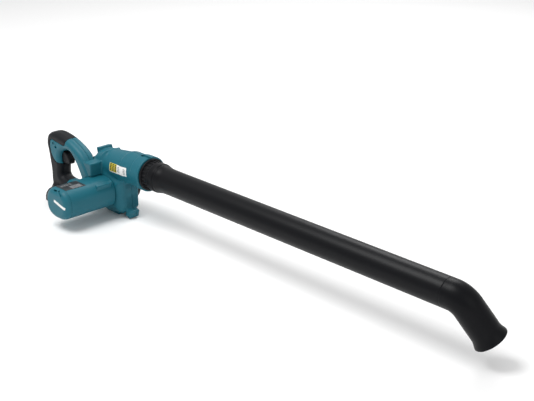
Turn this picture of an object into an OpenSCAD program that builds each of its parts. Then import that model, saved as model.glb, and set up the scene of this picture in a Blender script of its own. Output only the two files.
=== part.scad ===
// Cordless garden blower with a long nozzle and a bent tip.
// X runs forward along the nozzle, Y to the left and Z up, in millimetres. The origin is on the foot,
// straight below the fan axis, in the middle of the fan casing. Modules work in a frame on the fan axis.

/* [Fan casing] */
// Height of the fan axis above the foot
axis_h = 54; // [50:1:66]
// Radius of the casing in front of the fan, where the spiral starts
scroll_front_r = 47; // [45:1:57]
// Radius of the casing behind the fan's top, where the spiral ends
scroll_end_r = 74; // [68:1:78]
// Half width of the casing's flat rim
rim_half = 15; // [13:1:18]
// Radius of the casing's rounded shoulder on the motor side
shoulder_r = 17; // [15:1:20]
// Depth of the casing's left half, from the seam to the intake face
left_depth = 17; // [16:1:21]
// Wall thickness of the mouldings
wall = 3; // [2.5:0.25:4]
// Radius of the air intake
intake_r = 27; // [22:1:29]
// Length of the foot along X
foot_len = 40; // [30:1:50]
// Width of the foot along Y
foot_w = 30; // [20:1:34]

/* [Outlet duct] */
// Height of the duct axis above the fan axis
duct_rise = 54; // [50:1:66]
// Outer radius of the duct
duct_r = 33; // [32:1:36]
// Radius of the duct's bore at the collar
duct_bore_r = 29.5; // [28:0.25:30]
// Outer radius of the duct where it leaves the casing
duct_back_r = 30; // [28:0.5:32]
// How far the duct climbs from the casing to the collar
duct_climb = 7.5; // [0:0.5:10]
// Distance from the fan axis to the collar's front face
collar_x = 113; // [100:1:136]
// Length of the raised collar
collar_len = 24; // [20:1:30]
// How far the collar stands out from the duct
collar_step = 2; // [1:0.5:4]

/* [Nozzle] */
// Outer diameter of the nozzle tube
tube_d = 50; // [42:1:50]
// Wall thickness of the nozzle tube
tube_wall = 1.6; // [1.2:0.1:2.4]
// Length of the straight tube
tube_len = 689; // [400:1:830]
// Length of the spigot that plugs into the duct
spigot_len = 36; // [30:1:44]
// Length of the ribbed grip ring in front of the collar
grip_ring_len = 16; // [12:1:24]
// Bend of the tip below the tube's axis, in degrees
tip_bend = 62; // [40:1:70]
// How far the tip is rolled to the left about the tube, in degrees
tip_roll = 23; // [-30:1:30]
// Radius of the bend's centre line
bend_r = 38; // [34:1:60]
// Length of the straight part of the tip
tip_len = 58; // [40:1:64]
// Height of the tip's flared lip
lip_flare = 3.5; // [2:0.5:5]
// Turn that frees the nozzle's bayonet, in degrees
bayonet_turn = 45; // [30:5:60]

/* [Motor] */
// Half width of the motor housing along X
housing_a = 36; // [34:0.5:43.5]
// Half height of the motor housing
housing_b = 31.5; // [30.5:0.5:38]
// Length of the motor housing
housing_len = 104; // [100:1:125]
// Thickness of the end cap
cap_len = 13; // [12:1:18]
// Radius of the motor can
can_r = 26; // [24:0.5:26.5]
// Length of the motor can
can_len = 62; // [56:1:64]
// Radius of the motor shaft
shaft_r = 4; // [3:0.5:5]
// Outer radius of the impeller
impeller_r = 36; // [33:0.5:37]
// Width of the impeller
impeller_w = 28; // [22:1:29]
// Number of impeller blades
blade_count = 9; // [7:1:13]

/* [Handle] */
// Distance of the handle's middle plane from the fan casing's middle plane
handle_y = 43; // [40:1:46]
// Width of the handle
handle_w = 34; // [30:1:41]
// Thickness of the soft grip
grip_skin = 2; // [1.5:0.25:2.5]
// Travel of the trigger
trigger_travel = 7; // [5:0.5:8]
// Width of the trigger
trigger_w = 15; // [12:0.5:16]

/* [Battery base] */
// Width of the battery base
base_w = 68; // [62:1:82]
// Length of the battery base
base_len = 74; // [68:1:76]
// Height of the battery base above the floor
base_top = 33; // [33:1:40]
// Width of the channel for the battery's rails
channel_w = 54; // [48:1:56]
// Inward width of each rail lip
rail_lip = 4; // [3:0.5:6]

/* [Fits] */
// Radial clearance of a turning fit
running_gap = 0.08; // [0.02:0.01:0.1]
// Gap between fixed parts that lie beside each other
seat_gap = 0.2; // [0.1:0.05:0.3]
// Gap round a part that slides or turns past another body
sliding_gap = 0.4; // [0.3:0.05:0.6]

/* [Hidden] */
$fn = 64;
teal = [0.13, 0.42, 0.50];
black = [0.12, 0.125, 0.135];
steel = [0.72, 0.72, 0.74];
copper = [0.72, 0.42, 0.25];

// Fan casing
spiral_start = -36;
spiral_turn = 240;
spiral_step = 6;
spiral_power = 2.8;
duct_back_x = -7;
duct_back_rise = duct_rise - duct_climb;
duct_straight = 46;
duct_front_x = collar_x - duct_straight - 4;
shoulder_angles = [0, 22, 44, 66, 84];
duct_end_r = duct_r + collar_step;
scroll_half = rim_half + shoulder_r;
boss_r = 8;
front_low = -34;
boss_half = 15;
low_boss_half = 8;
label_rear = 18;
label_front = 76;
label_half = 9;
screw_r = 2;
screw_head_r = 3.8;
top_boss = [-36, 68];
low_boss = [49, -43];
rear_boss = [-56, -12];
boss_places = [top_boss, low_boss, rear_boss];
guard_y = left_depth;
guard_r = intake_r + 7;
guard_depth = 16;
guard_seat = 5.6;
guard_bore_r = intake_r + 4;
guard_screw_r = 1.2;
guard_screw_at = intake_r + 3;
guard_screw_turns = [90, 210, 330];
guard_head_r = 2.6;
block_front = -7;
block_rear = -45;
block_low = 24;
block_high = 58;

// Nozzle
tube_r = tube_d / 2;
tube_bore_r = tube_r - tube_wall;
spigot_r = duct_bore_r - running_gap;
ring_x = collar_x + sliding_gap + 0.2;
tube_x = ring_x + grip_ring_len + 3;
tube_end_x = tube_x + tube_len;
lug_r = 2.5;
lug_reach = spigot_r + 2.3;
lug_x = collar_x - 13;
sleeve_len = 24;
bell_r = tube_r + 4;
bell_len = 16;
tip_socket_len = 12;
tip_flange = 3;
tip_lap = 0.3;
tip_thin = 0.06;
lip_len = 12;
rib_turn = 15;

// Motor, with Y running towards the cap
housing_y = -scroll_half;
cap_y = housing_y - housing_len;
housing_wall = 3.2;
front_bearing_r = 11;
front_bearing_w = 7;
housing_power = 2.5;
screw_spread = 17;
can_boss_r = front_bearing_r + 2;
bearing_seat = 2;
can_front_y = housing_y - 4;
can_rear_y = can_front_y - can_len;
can_wall = 1.8;
rear_bearing_r = 9.5;
rear_bearing_w = 6;
bell_depth = 14;
bell_y = can_rear_y - bell_depth;
commutator_r = 9;
core_r = can_r - can_wall - 4.6;
core_len = 34;
core_y = can_front_y - 15;
slot_count = 10;
facet_drop = 0.6;
hub_r = 11;
impeller_y = -wall - 0.6 * scroll_half;
disc = 2;

// Handle, in the XZ plane of the fan axis
handle_side = handle_w / 2;
block_side = handle_side - 2;
base_rear = -164;
base_front = base_rear + base_len;
base_top_z = base_top - axis_h;
handle_outer = [[-148, base_top_z - 5], [-152, 14], [-157, 46], [-161, 68], [-156, 85], [-143, 93],
                [-124, 95.5], [-100, 92.5], [-76, 86.5], [-51, 75.5], [-32, 61], [-20, 44], [-11, 25],
                [-16, 4], [-40, -14], [-70, -26], [-110, base_top_z - 9]];
handle_inner = [[-116, 4], [-115, 26], [-116, 46], [-109, 58], [-97, 64], [-84, 65.5],
                [-73, 61], [-62, 49], [-51, 32], [-44, 18], [-50, 9], [-66, 5], [-90, 0]];
grip_zone = [[-200, base_top_z - 2], [-200, 110], [-82, 110], [-94, 76], [-140, 79], [-146, 64],
             [-139, 49], [-122, 40], [-100, 36], [-100, base_top_z - 2]];
lead_shaft = [[-142, base_top_z - 5], [-146, 40], [-151, 62], [-146, 78], [-126, 84], [-121, 66],
              [-122, 40], [-122, base_top_z - 5]];
lead_bridge = [[-124, -17], [-124, -8], [-60, -4], [-45, 8], [-35, 8], [-35, -8], [-66, -17]];
window_low = 32;
window_high = 60;
trigger_rear = -129;
trigger_front = -92;
switch_front = trigger_rear - trigger_travel - 2;
channel_h = 14;
channel_front = base_front - 14;
lip_h = 4;
room_floor = channel_h + wall;
lead_r = 1.3;
spring_z = 46;

// A smooth closed curve through a list of points, with a few steps between each pair
function blend_point(a, b, c, d, t) =
    0.5 * (2 * b + (c - a) * t + (2 * a - 5 * b + 4 * c - d) * t * t
           + (3 * b - a - 3 * c + d) * t * t * t);
function smooth_loop(p, steps = 4) = let(n = len(p))
    [for (i = [0:n - 1], s = [0:steps - 1])
        blend_point(p[(i + n - 1) % n], p[i], p[(i + 1) % n], p[(i + 2) % n], s / steps)];
// The same outline moved along its normals; it shrinks where the outline runs clockwise
function inset_loop(p, d) = let(n = len(p))
    [for (i = [0:n - 1]) let(t = p[(i + 1) % n] - p[(i + n - 1) % n]) p[i] + d * [t[1], -t[0]] / norm(t)];
function superellipse(a, b, power, count = 48) =
    [for (i = [0:count - 1]) let(u = 360 * i / count, c = cos(u), s = sin(u))
        [a * sign(c) * pow(abs(c), 2 / power), b * sign(s) * pow(abs(s), 2 / power)]];

module plate(y0, y1) { translate([0, y1, 0]) rotate([90, 0, 0]) linear_extrude(y1 - y0) children(); }
module ycyl(r, y0, y1) { translate([0, y0, 0]) rotate([-90, 0, 0]) cylinder(h = y1 - y0, r = r); }
module xcyl(r, x0, x1) { translate([x0, 0, duct_rise]) rotate([0, 90, 0]) cylinder(h = x1 - x0, r = r); }
module xturn(x = 0) { translate([x, 0, duct_rise]) rotate([0, 90, 0]) rotate_extrude() children(); }
module yring(r1, r0, y0, y1) {
    difference() {
        ycyl(r1, y0, y1);
        ycyl(r0, y0 - 1, y1 + 1);
    }
}
module at_each(places) { for (p = places) translate([p[0], 0, p[1]]) children(); }
module grounded() { translate([0, 0, axis_h]) children(); }

// ---- Fan casing ----
function spiral_r(a, inset) =
    scroll_front_r - inset + (scroll_end_r - scroll_front_r) * pow(max(a, 0) / spiral_turn, spiral_power);
function spiral(inset) = concat(
    [for (a = [spiral_start:spiral_step:spiral_turn]) spiral_r(a, inset) * [cos(a), -sin(a)]],
    [[duct_back_x, duct_back_rise + duct_back_r - inset], [duct_back_x + 12, duct_back_rise]]);
// The spiral, with an upright front face below the duct
module casing_outline(inset) {
    front = scroll_front_r - inset;
    polygon(spiral(inset));
    polygon([[0, 30], [front - 5, 30], [front, 20], [front, front_low],
             [front - 8, front_low - 10 + inset], [0, front_low - 14 + inset]]);
}
module casing_slabs(shell) {
    for (a = shoulder_angles) {
        half = rim_half + shoulder_r * sin(a) - shell;
        inset = shoulder_r * (1 - cos(a)) + shell;
        plate(-half, 0) casing_outline(inset);
    }
    plate(-1, left_depth - 3 - shell) casing_outline(shell);
    plate(-1, left_depth - shell) casing_outline(shell + 2);
}
module housing_plate(inset, y0, y1) {
    plate(y0, y1) polygon(superellipse(housing_a - inset, housing_b - inset, housing_power));
}
module duct_cone(r1, r2, x0) {
    run = collar_x - duct_straight - x0;
    translate([x0, 0, duct_back_rise]) rotate([0, 90 - atan(duct_climb / run), 0])
        cylinder(h = norm([run, duct_climb]), r1 = r1, r2 = r2);
}
module casing_solid() {
    casing_slabs(0);
    duct_cone(duct_back_r, duct_r - 0.5, duct_back_x);
    xcyl(duct_r, duct_front_x, collar_x - collar_len + 1);
    xcyl(duct_end_r, collar_x - collar_len, collar_x);
    at_each([top_boss]) ycyl(boss_r, -boss_half, boss_half);
    at_each([low_boss]) ycyl(boss_r, -boss_half, low_boss_half);
    at_each([rear_boss]) ycyl(boss_r - 1.5, -boss_half, boss_half);
    translate([-foot_len / 2, -foot_w / 2, -axis_h])
        cube([foot_len, foot_w, axis_h - scroll_front_r + wall]);
}
module casing_space() {
    casing_slabs(wall);
    duct_cone(duct_back_r - wall - 0.2, duct_bore_r - 0.5, duct_back_x + 2);
    xcyl(duct_bore_r, duct_front_x, collar_x + 1);
}
// The groove's arc holds the lug; its straight run lets the lug out at the collar's face
module bayonet_groove(start) {
    half = lug_r + sliding_gap;
    depth = lug_reach + sliding_gap - duct_bore_r + 3;
    lead_in = 6;
    translate([lug_x, 0, duct_rise]) rotate([start, 0, 0]) {
        rotate([0, 90, 0]) rotate([0, 0, 90 - lead_in])
            rotate_extrude(angle = bayonet_turn + 2 * lead_in)
                translate([duct_bore_r - 3, -half]) square([depth, 2 * half]);
        rotate([bayonet_turn, 0, 0]) translate([0, duct_bore_r - 3, -half])
            cube([collar_x - lug_x + 1, depth - 0.2, 2 * half]);
    }
}
module scroll_right() {
    color(teal) grounded() {
        difference() {
            intersection() {
                union() {
                    casing_solid();
                    translate([block_rear, -handle_y - block_side, block_low])
                        cube([block_front - block_rear, handle_y + block_side, block_high - block_low]);
                }
                translate([-400, -400, -400]) cube([800, 400, 800]);
            }
            casing_space();
            translate([block_rear + wall, -handle_y - block_side + wall, block_low + wall])
                cube([block_front - block_rear - 2 * wall, block_side + 8,
                      block_high - block_low - 2 * wall]);
            ycyl(can_boss_r + seat_gap, housing_y - 1, housing_y + wall + 1);
            housing_plate(-seat_gap, housing_y - 40, housing_y);
            at_motor_screws() ycyl(screw_r, housing_y - 1, 0);
            at_each(boss_places) ycyl(screw_r, -boss_half + 3, 1);
            bayonet_groove(180);
        }
    }
}
module scroll_left() {
    color(teal) grounded() {
        difference() {
            intersection() {
                casing_solid();
                translate([-400, 0, -400]) cube([800, 400, 800]);
            }
            casing_space();
            ycyl(intake_r, 1, left_depth + 1);
            at_each(boss_places) {
                ycyl(screw_r + seat_gap, -1, boss_half + 1);
                ycyl(screw_head_r + seat_gap, low_boss_half - 4, boss_half + 20);
            }
            at_guard_screws() ycyl(guard_screw_r, left_depth - 5, left_depth + 1);
            bayonet_groove(0);
        }
    }
}
module at_guard_screws() {
    for (a = guard_screw_turns) rotate([0, a, 0]) translate([guard_screw_at, 0, 0]) children();
}
module intake_guard() {
    color(black) grounded() {
        difference() {
            union() {
                yring(guard_r, intake_r, guard_y, guard_y + guard_depth - guard_seat);
                yring(guard_r, guard_bore_r, guard_y + guard_depth - guard_seat - 1, guard_y + guard_depth);
                at_guard_screws() ycyl(4.2, guard_y, guard_y + 3);
                for (r = [6.5:6.5:intake_r - 7]) yring(r + 1, r - 1, guard_y + 0.5, guard_y + 2.5);
                for (a = [30:60:360]) rotate([0, a, 0])
                    translate([5, guard_y + 0.2, -1]) cube([intake_r - 4.5, 2.6, 2]);
            }
            at_guard_screws() {
                ycyl(guard_screw_r + seat_gap, guard_y - 1, guard_y + 5);
                ycyl(guard_head_r + seat_gap, guard_y + 2.98, guard_y + guard_depth + 1);
            }
            duct_cone(duct_back_r + 0.4, duct_r - 0.1, duct_back_x - 1);
        }
    }
}
module guard_screws() {
    color(steel) grounded() at_guard_screws() {
        ycyl(guard_screw_r, guard_y - 4.5, guard_y + 3.1);
        ycyl(guard_head_r, guard_y + 3, guard_y + 4.6);
    }
}
module case_screws() {
    color(steel) grounded() at_each(boss_places) {
        ycyl(screw_r, -boss_half + 5, low_boss_half - 3.9);
        ycyl(screw_head_r, low_boss_half - 4, low_boss_half - 1);
    }
}

// ---- Motor housing and cap ----
module motor_housing() {
    color(teal) grounded() difference() {
        union() {
            difference() {
                housing_plate(0, cap_y, housing_y - seat_gap);
                housing_plate(housing_wall, cap_y - 1, housing_y + 1);
            }
            for (a = [45:90:360]) rotate([0, a, 0]) translate([can_r + seat_gap, can_rear_y + 6, -1.5])
                cube([housing_a - can_r - seat_gap - 1, can_len - 14, 3]);
            translate([housing_a - 9, housing_y - 42, 17]) cube([6, 32, 8]);
        }
        translate([-housing_a - 1, -handle_y, 0])
            rotate([0, 90, 0]) cylinder(h = housing_wall + 2, r = 5);
        translate([-50, cap_y - 1, housing_b - facet_drop]) cube([100, housing_len - 22, 10]);
    }
}
// The cap is rounded in steps and snaps into the housing with a thin inner rim
module motor_end_cap() {
    color(teal) grounded() difference() {
        union() {
            for (step = [[0.2, 0], [0.45, 3], [0.7, 7], [1, 13]])
                housing_plate(step[1], cap_y - cap_len * step[0], cap_y - seat_gap);
            housing_plate(housing_wall + seat_gap, cap_y - 1, cap_y + 6);
        }
        housing_plate(16, cap_y - cap_len + wall, cap_y + 7);
        for (slot = [[-9, 9], [4, 14]])
            translate([slot[0], cap_y - cap_len - 1, housing_b - 11]) cube([slot[1], cap_len - 1, 3]);
    }
}
module cap_stripe() {
    color("white") grounded() translate([3, cap_y - cap_len - 0.5, 2]) rotate([0, 14, 0])
        translate([-17, 0, -2.5]) cube([34, 0.5, 5]);
}
module rating_plate() {
    color(black) grounded() translate([-17, cap_y + 2, housing_b - facet_drop]) cube([36, 46, 0.6]);
}
module duct_label() {
    color("gold") grounded() difference() {
        intersection() {
            xcyl(duct_r + 0.5, label_rear, label_front);
            translate([label_rear - 1, -duct_r - 2, duct_rise - label_half])
                cube([label_front - label_rear + 2, 20, 2 * label_half]);
        }
        duct_cone(duct_back_r + 0.05, duct_r - 0.45, duct_back_x);
        xcyl(duct_r + 0.05, duct_front_x, label_front + 1);
    }
}

// ---- Motor ----
module at_motor_screws() { for (z = [-screw_spread, screw_spread]) translate([0, 0, z]) children(); }
module motor_can() {
    color(steel) grounded() difference() {
        union() {
            ycyl(can_r, can_rear_y, can_front_y);
            ycyl(can_boss_r, can_front_y - 1, housing_y + bearing_seat);
        }
        ycyl(can_r - can_wall, can_rear_y - 1, can_front_y - can_wall);
        ycyl(front_bearing_r - 2, can_front_y - 3, housing_y + 3);
        ycyl(front_bearing_r + 0.02, housing_y + bearing_seat - front_bearing_w, housing_y + 3);
        at_motor_screws() ycyl(screw_r + seat_gap, can_front_y - 3, can_front_y + 1);
    }
}
module motor_screws() {
    color(steel) grounded() at_motor_screws() {
        ycyl(screw_r, can_front_y - can_wall, housing_y + wall - 0.5);
        ycyl(screw_head_r, can_front_y - can_wall - 2.5, can_front_y - can_wall);
    }
}
module field_magnets() {
    color([0.3, 0.3, 0.32]) grounded() for (a = [25, 205])
        translate([0, core_y + 2, 0]) rotate([90, 0, 0]) rotate([0, 0, a]) rotate_extrude(angle = 130)
            translate([can_r - can_wall - 4, 0]) square([3.9, core_len + 4]);
}
module armature_core() {
    color([0.55, 0.55, 0.58]) grounded() difference() {
        ycyl(core_r, core_y - core_len, core_y);
        ycyl(shaft_r, core_y - core_len - 1, core_y + 1);
        for (i = [0:slot_count - 1]) rotate([0, 360 * i / slot_count, 0]) translate([core_r - 4.5, 0, 0]) {
            ycyl(2.4, core_y - core_len - 1, core_y + 1);
            translate([0, core_y - core_len - 1, -0.8]) cube([6, core_len + 2, 1.6]);
        }
    }
}
module armature_windings() {
    color(copper) grounded() {
        for (y = [core_y, core_y - core_len - 6]) yring(core_r - 1.5, shaft_r + 3, y, y + 6);
        for (i = [0:slot_count - 1]) rotate([0, 360 * i / slot_count, 0]) translate([core_r - 4.5, 0, 0])
            ycyl(2.2, core_y - core_len - 1, core_y + 1);
    }
}
module motor_shaft() {
    color(steel) grounded() ycyl(shaft_r, bell_y - 1, impeller_y + impeller_w + 1);
}
module commutator() {
    color(copper) grounded() difference() {
        ycyl(commutator_r, can_rear_y - 8, can_rear_y + 3);
        ycyl(shaft_r, can_rear_y - 9, can_rear_y + 4);
        for (i = [0:slot_count - 1]) rotate([0, 360 * i / slot_count, 0])
            translate([commutator_r - 1, can_rear_y - 9, -0.25]) cube([2, 13, 0.5]);
    }
}
module brush_end_bell() {
    color(black) grounded() difference() {
        union() {
            yring(can_r, can_r - 3, can_rear_y - 9, can_rear_y);
            ycyl(can_r, can_rear_y - 11, can_rear_y - 9);
            ycyl(rear_bearing_r + 2, bell_y, can_rear_y - 9);
            for (s = [-1, 1]) translate([s * (can_r + commutator_r) / 2 - 6.5, can_rear_y - 9.1, -5.5])
                cube([13, 9, 11]);
        }
        ycyl(shaft_r + 1, bell_y - 1, can_rear_y);
        ycyl(rear_bearing_r + 0.02, bell_y - 1, bell_y + rear_bearing_w);
        translate([-can_r - 1, can_rear_y - 7.7, -3.2]) cube([2 * can_r + 2, 6.4, 6.4]);
    }
}
module carbon_brushes() {
    color([0.2, 0.2, 0.2]) grounded() for (s = [-1, 1])
        translate([s * (commutator_r + 7.6) - 6, can_rear_y - 7.5, -3]) cube([12, 6, 6]);
}
module ball_bearing(r, w, y) {
    color(steel) grounded() difference() {
        ycyl(r, y, y + w);
        ycyl(shaft_r + running_gap / 2, y - 1, y + w + 1);
        yring(r - 2, shaft_r + 2, y - 1, y + 0.5);
        yring(r - 2, shaft_r + 2, y + w - 0.5, y + w + 1);
    }
}
module front_bearing() {
    ball_bearing(front_bearing_r, front_bearing_w, housing_y + bearing_seat - front_bearing_w);
}
module rear_bearing() { ball_bearing(rear_bearing_r, rear_bearing_w, bell_y); }

// ---- Fan ----
module impeller_blade() {
    arc_r = impeller_r * 0.62;
    difference() {
        intersection() {
            translate([hub_r - 2, -arc_r, 0]) difference() {
                blade_disc(arc_r + 0.8);
                blade_disc(arc_r - 0.8);
            }
            blade_disc(impeller_r - 0.4);
            translate([0, -impeller_r * 2, -1]) cube([impeller_r * 2, impeller_r * 2, impeller_w + 2]);
        }
        blade_disc(hub_r - 1);
    }
}
module blade_disc(r) { cylinder(h = impeller_w - 1, r = r); }
module impeller() {
    color([0.16, 0.16, 0.17]) grounded() difference() {
        union() {
            ycyl(impeller_r, impeller_y, impeller_y + disc);
            ycyl(hub_r, impeller_y, impeller_y + impeller_w - 6);
            yring(impeller_r, impeller_r - 12, impeller_y + impeller_w - disc, impeller_y + impeller_w);
            translate([0, impeller_y + 0.5, 0]) rotate([-90, 0, 0])
                for (i = [0:blade_count - 1]) rotate([0, 0, 360 * i / blade_count]) impeller_blade();
        }
        ycyl(shaft_r, impeller_y - 1, impeller_y + impeller_w);
    }
}
module impeller_nut() {
    color(steel) grounded() difference() {
        translate([0, impeller_y + impeller_w - 6, 0]) rotate([-90, 0, 0])
            cylinder(h = 5, r = 7.5, $fn = 6);
        ycyl(shaft_r, impeller_y, impeller_y + impeller_w);
    }
}

// ---- Handle ----
loop_outer = smooth_loop(handle_outer);
loop_inner = smooth_loop(handle_inner);
module handle_body(skin) {
    for (step = [[1, 6], [0.84, 2.5], [0.6, 0]])
        plate(-handle_y - handle_side * step[0] + skin, -handle_y + handle_side * step[0] - skin)
        difference() {
            polygon(inset_loop(loop_outer, skin + step[1]));
            polygon(inset_loop(loop_inner, -skin - step[1] / 2));
        }
}
module grip_region() { plate(-handle_y - handle_w, -handle_y + handle_w) polygon(grip_zone); }
module trigger_window(gap) {
    translate([switch_front, -handle_y - trigger_w / 2 - gap, window_low - gap])
        cube([60, trigger_w + 2 * gap, window_high - window_low + 2 * gap]);
}
module handle_cuts() {
    housing_plate(-seat_gap, cap_y, housing_y);
    translate([-72, -scroll_half - seat_gap, -100]) cube([100, 60, 250]);
    translate([block_rear - seat_gap, -handle_y - handle_w, block_low - seat_gap])
        cube([60, handle_w * 2, block_high - block_low + 2 * seat_gap]);
    battery_envelope(seat_gap);
    rear_room();
    trigger_window(sliding_gap);
}
// Space inside the grip, the top bar, the arm and the bridge for the switch and the leads
module rear_room() {
    plate(-handle_y - handle_side + grip_skin + wall, -handle_y + handle_side - grip_skin - wall) {
        polygon(lead_shaft);
        polygon(lead_bridge);
    }
}
module handle_solid() {
    difference() {
        union() {
            handle_body(grip_skin);
            difference() {
                handle_body(0);
                grip_region();
            }
        }
        handle_cuts();
    }
}
module strap_slot() {
    translate([-129, -handle_y - handle_side, 69]) rotate([0, 38, 0]) for (s = [-5.5, 5.5])
        translate([s - 3, -1, -2.5]) cube([6, 5, 5]);
}
module handle_shell_right() {
    color(teal) grounded() difference() {
        intersection() {
            handle_solid();
            translate([-300, -handle_y - 60, -150]) cube([400, 60, 400]);
        }
        strap_slot();
    }
}
module handle_shell_left() {
    color(teal) grounded() intersection() {
        handle_solid();
        translate([-300, -handle_y, -150]) cube([400, 60, 400]);
    }
}
module soft_grip() {
    color(black) grounded() difference() {
        intersection() {
            handle_body(0);
            grip_region();
        }
        handle_body(grip_skin);
        battery_envelope(seat_gap);
        trigger_window(sliding_gap);
    }
}
module trigger() {
    color([0.08, 0.08, 0.085]) grounded() difference() {
        plate(-handle_y - trigger_w / 2, -handle_y + trigger_w / 2)
            polygon([[trigger_rear, window_low + 2], [trigger_rear, window_high - 1],
                     [-112, window_high - 1], [-101, 53], [trigger_front + 1, 44],
                     [trigger_front, 38], [-94, 33], [-106, window_low]]);
        translate([trigger_rear - 1, -handle_y, spring_z]) rotate([0, 90, 0]) cylinder(h = 6, r = 4);
    }
}
module trigger_spring() {
    pitch = (trigger_rear + 3.3 - switch_front) / 3;
    color(steel) grounded() translate([switch_front + 0.1, -handle_y, spring_z]) rotate([0, 90, 0])
        for (i = [0:3]) translate([0, 0, 0.7 + i * pitch])
            rotate_extrude() translate([2.8, 0]) circle(r = 0.6, $fn = 16);
}
module switch_body() {
    color([0.25, 0.25, 0.26]) grounded()
        translate([switch_front - 7, -handle_y - 8, 36]) cube([7, 16, 24]);
}

// ---- Battery base ----
module battery_envelope(gap) {
    translate([base_rear - gap, -handle_y - base_w / 2 - gap, -axis_h])
        cube([base_len + 2 * gap, base_w + 2 * gap, base_top + gap]);
}
module battery_base() {
    color(black) grounded() difference() {
        intersection() {
            battery_envelope(0);
            translate([base_rear + base_len / 2, -handle_y, -axis_h - 1]) linear_extrude(base_top + 2)
                polygon(superellipse(base_len / 2, base_w / 2, 4));
        }
        translate([base_rear - 1, -handle_y - base_w, -axis_h]) rotate([0, 42, 0])
            translate([-40, 0, -60]) cube([40, base_w * 2, 120]);
        translate([base_rear - 1, -handle_y - channel_w / 2, -axis_h + lip_h])
            cube([channel_front - base_rear + 1, channel_w, channel_h - lip_h]);
        translate([base_rear - 1, -handle_y - channel_w / 2 + rail_lip, -axis_h - 1])
            cube([channel_front - base_rear + 1, channel_w - 2 * rail_lip, lip_h + 2]);
        translate([-152, -handle_y - 22, -axis_h + room_floor])
            cube([44, 44, base_top - room_floor - wall]);
        translate([-145, -handle_y - 8, base_top_z - wall - 1]) cube([24, 16, wall + 2]);
    }
}
module terminal_block() {
    color([0.3, 0.3, 0.31]) grounded()
        translate([channel_front - 8.1, -handle_y - 18, -axis_h + lip_h + 0.5])
            cube([8, 36, channel_h - lip_h - 1]);
}
module battery_terminals() {
    color(copper) grounded() for (y = [-12, 0, 12])
        translate([channel_front - 22, -handle_y + y - 0.5, -axis_h + lip_h + 2.5]) cube([13.9, 1, 5]);
}
module controller_board() {
    color([0.1, 0.35, 0.2]) grounded() {
        translate([-150, -handle_y - 20, -axis_h + room_floor + 0.2]) cube([40, 40, 1.6]);
        for (x = [-144, -124])
            translate([x, -handle_y - 14, -axis_h + room_floor + 1.7]) cube([10, 8, 5]);
    }
}
module lead(points) {
    for (i = [0:len(points) - 2]) {
        run = points[i + 1] - points[i];
        translate(points[i]) {
            sphere(r = lead_r + 0.2, $fn = 24);
            rotate([0, acos(run[2] / norm(run)), atan2(run[1], run[0])])
                cylinder(h = norm(run), r = lead_r, $fn = 24);
        }
    }
    translate(points[len(points) - 1]) sphere(r = lead_r + 0.2, $fn = 24);
}
module power_leads() {
    color("red") grounded() {
        lead([[-134, -handle_y, base_top_z - 4], [-134, -handle_y, 20], [-143, -handle_y, 34]]);
        lead([[-126, -handle_y, base_top_z - 4], [-126, -handle_y, -14], [-60, -handle_y, -12],
              [-46, -handle_y, 0], [-housing_a + housing_wall + 2.2, -handle_y - 3, 0]]);
    }
}

// ---- Nozzle ----
module nozzle_coupling() {
    color(black) grounded() difference() {
        union() {
            xcyl(spigot_r, collar_x - spigot_len, ring_x + 1);
            xcyl(duct_r - 1, ring_x, ring_x + 4);
            xcyl(tube_r + 2.5, ring_x + 3, tube_x - 0.2);
            xcyl(tube_bore_r, ring_x, tube_x + sleeve_len);
            for (a = [0:rib_turn:359]) translate([0, 0, duct_rise]) rotate([a, 0, 0])
                translate([ring_x + 4, 0, -1]) cube([grip_ring_len - 5, tube_r + 4.5, 2]);
            for (a = [0, 180]) translate([lug_x, 0, duct_rise]) rotate([a, 0, 0])
                translate([0, tube_bore_r - 2, 0]) rotate([-90, 0, 0])
                    cylinder(h = lug_reach - tube_bore_r + 2, r = lug_r);
        }
        xcyl(tube_bore_r - 2.4, collar_x - spigot_len - 1, tube_x + sleeve_len + 1);
        xturn(ring_x - 8) translate([spigot_r - 2, 0]) square([3, 3]);
    }
}
module coupling_seal() {
    color([0.2, 0.2, 0.2]) grounded() xturn(ring_x - 6.5)
        translate([spigot_r - 1.25, 0]) circle(r = 1.2, $fn = 24);
}
module nozzle_tube() {
    color(black) grounded() difference() {
        union() {
            xcyl(tube_r, tube_x, tube_end_x);
            xturn(tube_x) polygon([[tube_r - 1, 0], [bell_r - 1, 0], [bell_r, 1.5], [bell_r, bell_len - 2],
                                   [bell_r - 2, bell_len], [tube_r + 1.2, bell_len + 6],
                                   [tube_r, bell_len + 26], [tube_r - 1, bell_len + 26]]);
        }
        xcyl(tube_bore_r, tube_x - 1, tube_end_x + 1);
    }
}
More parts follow.
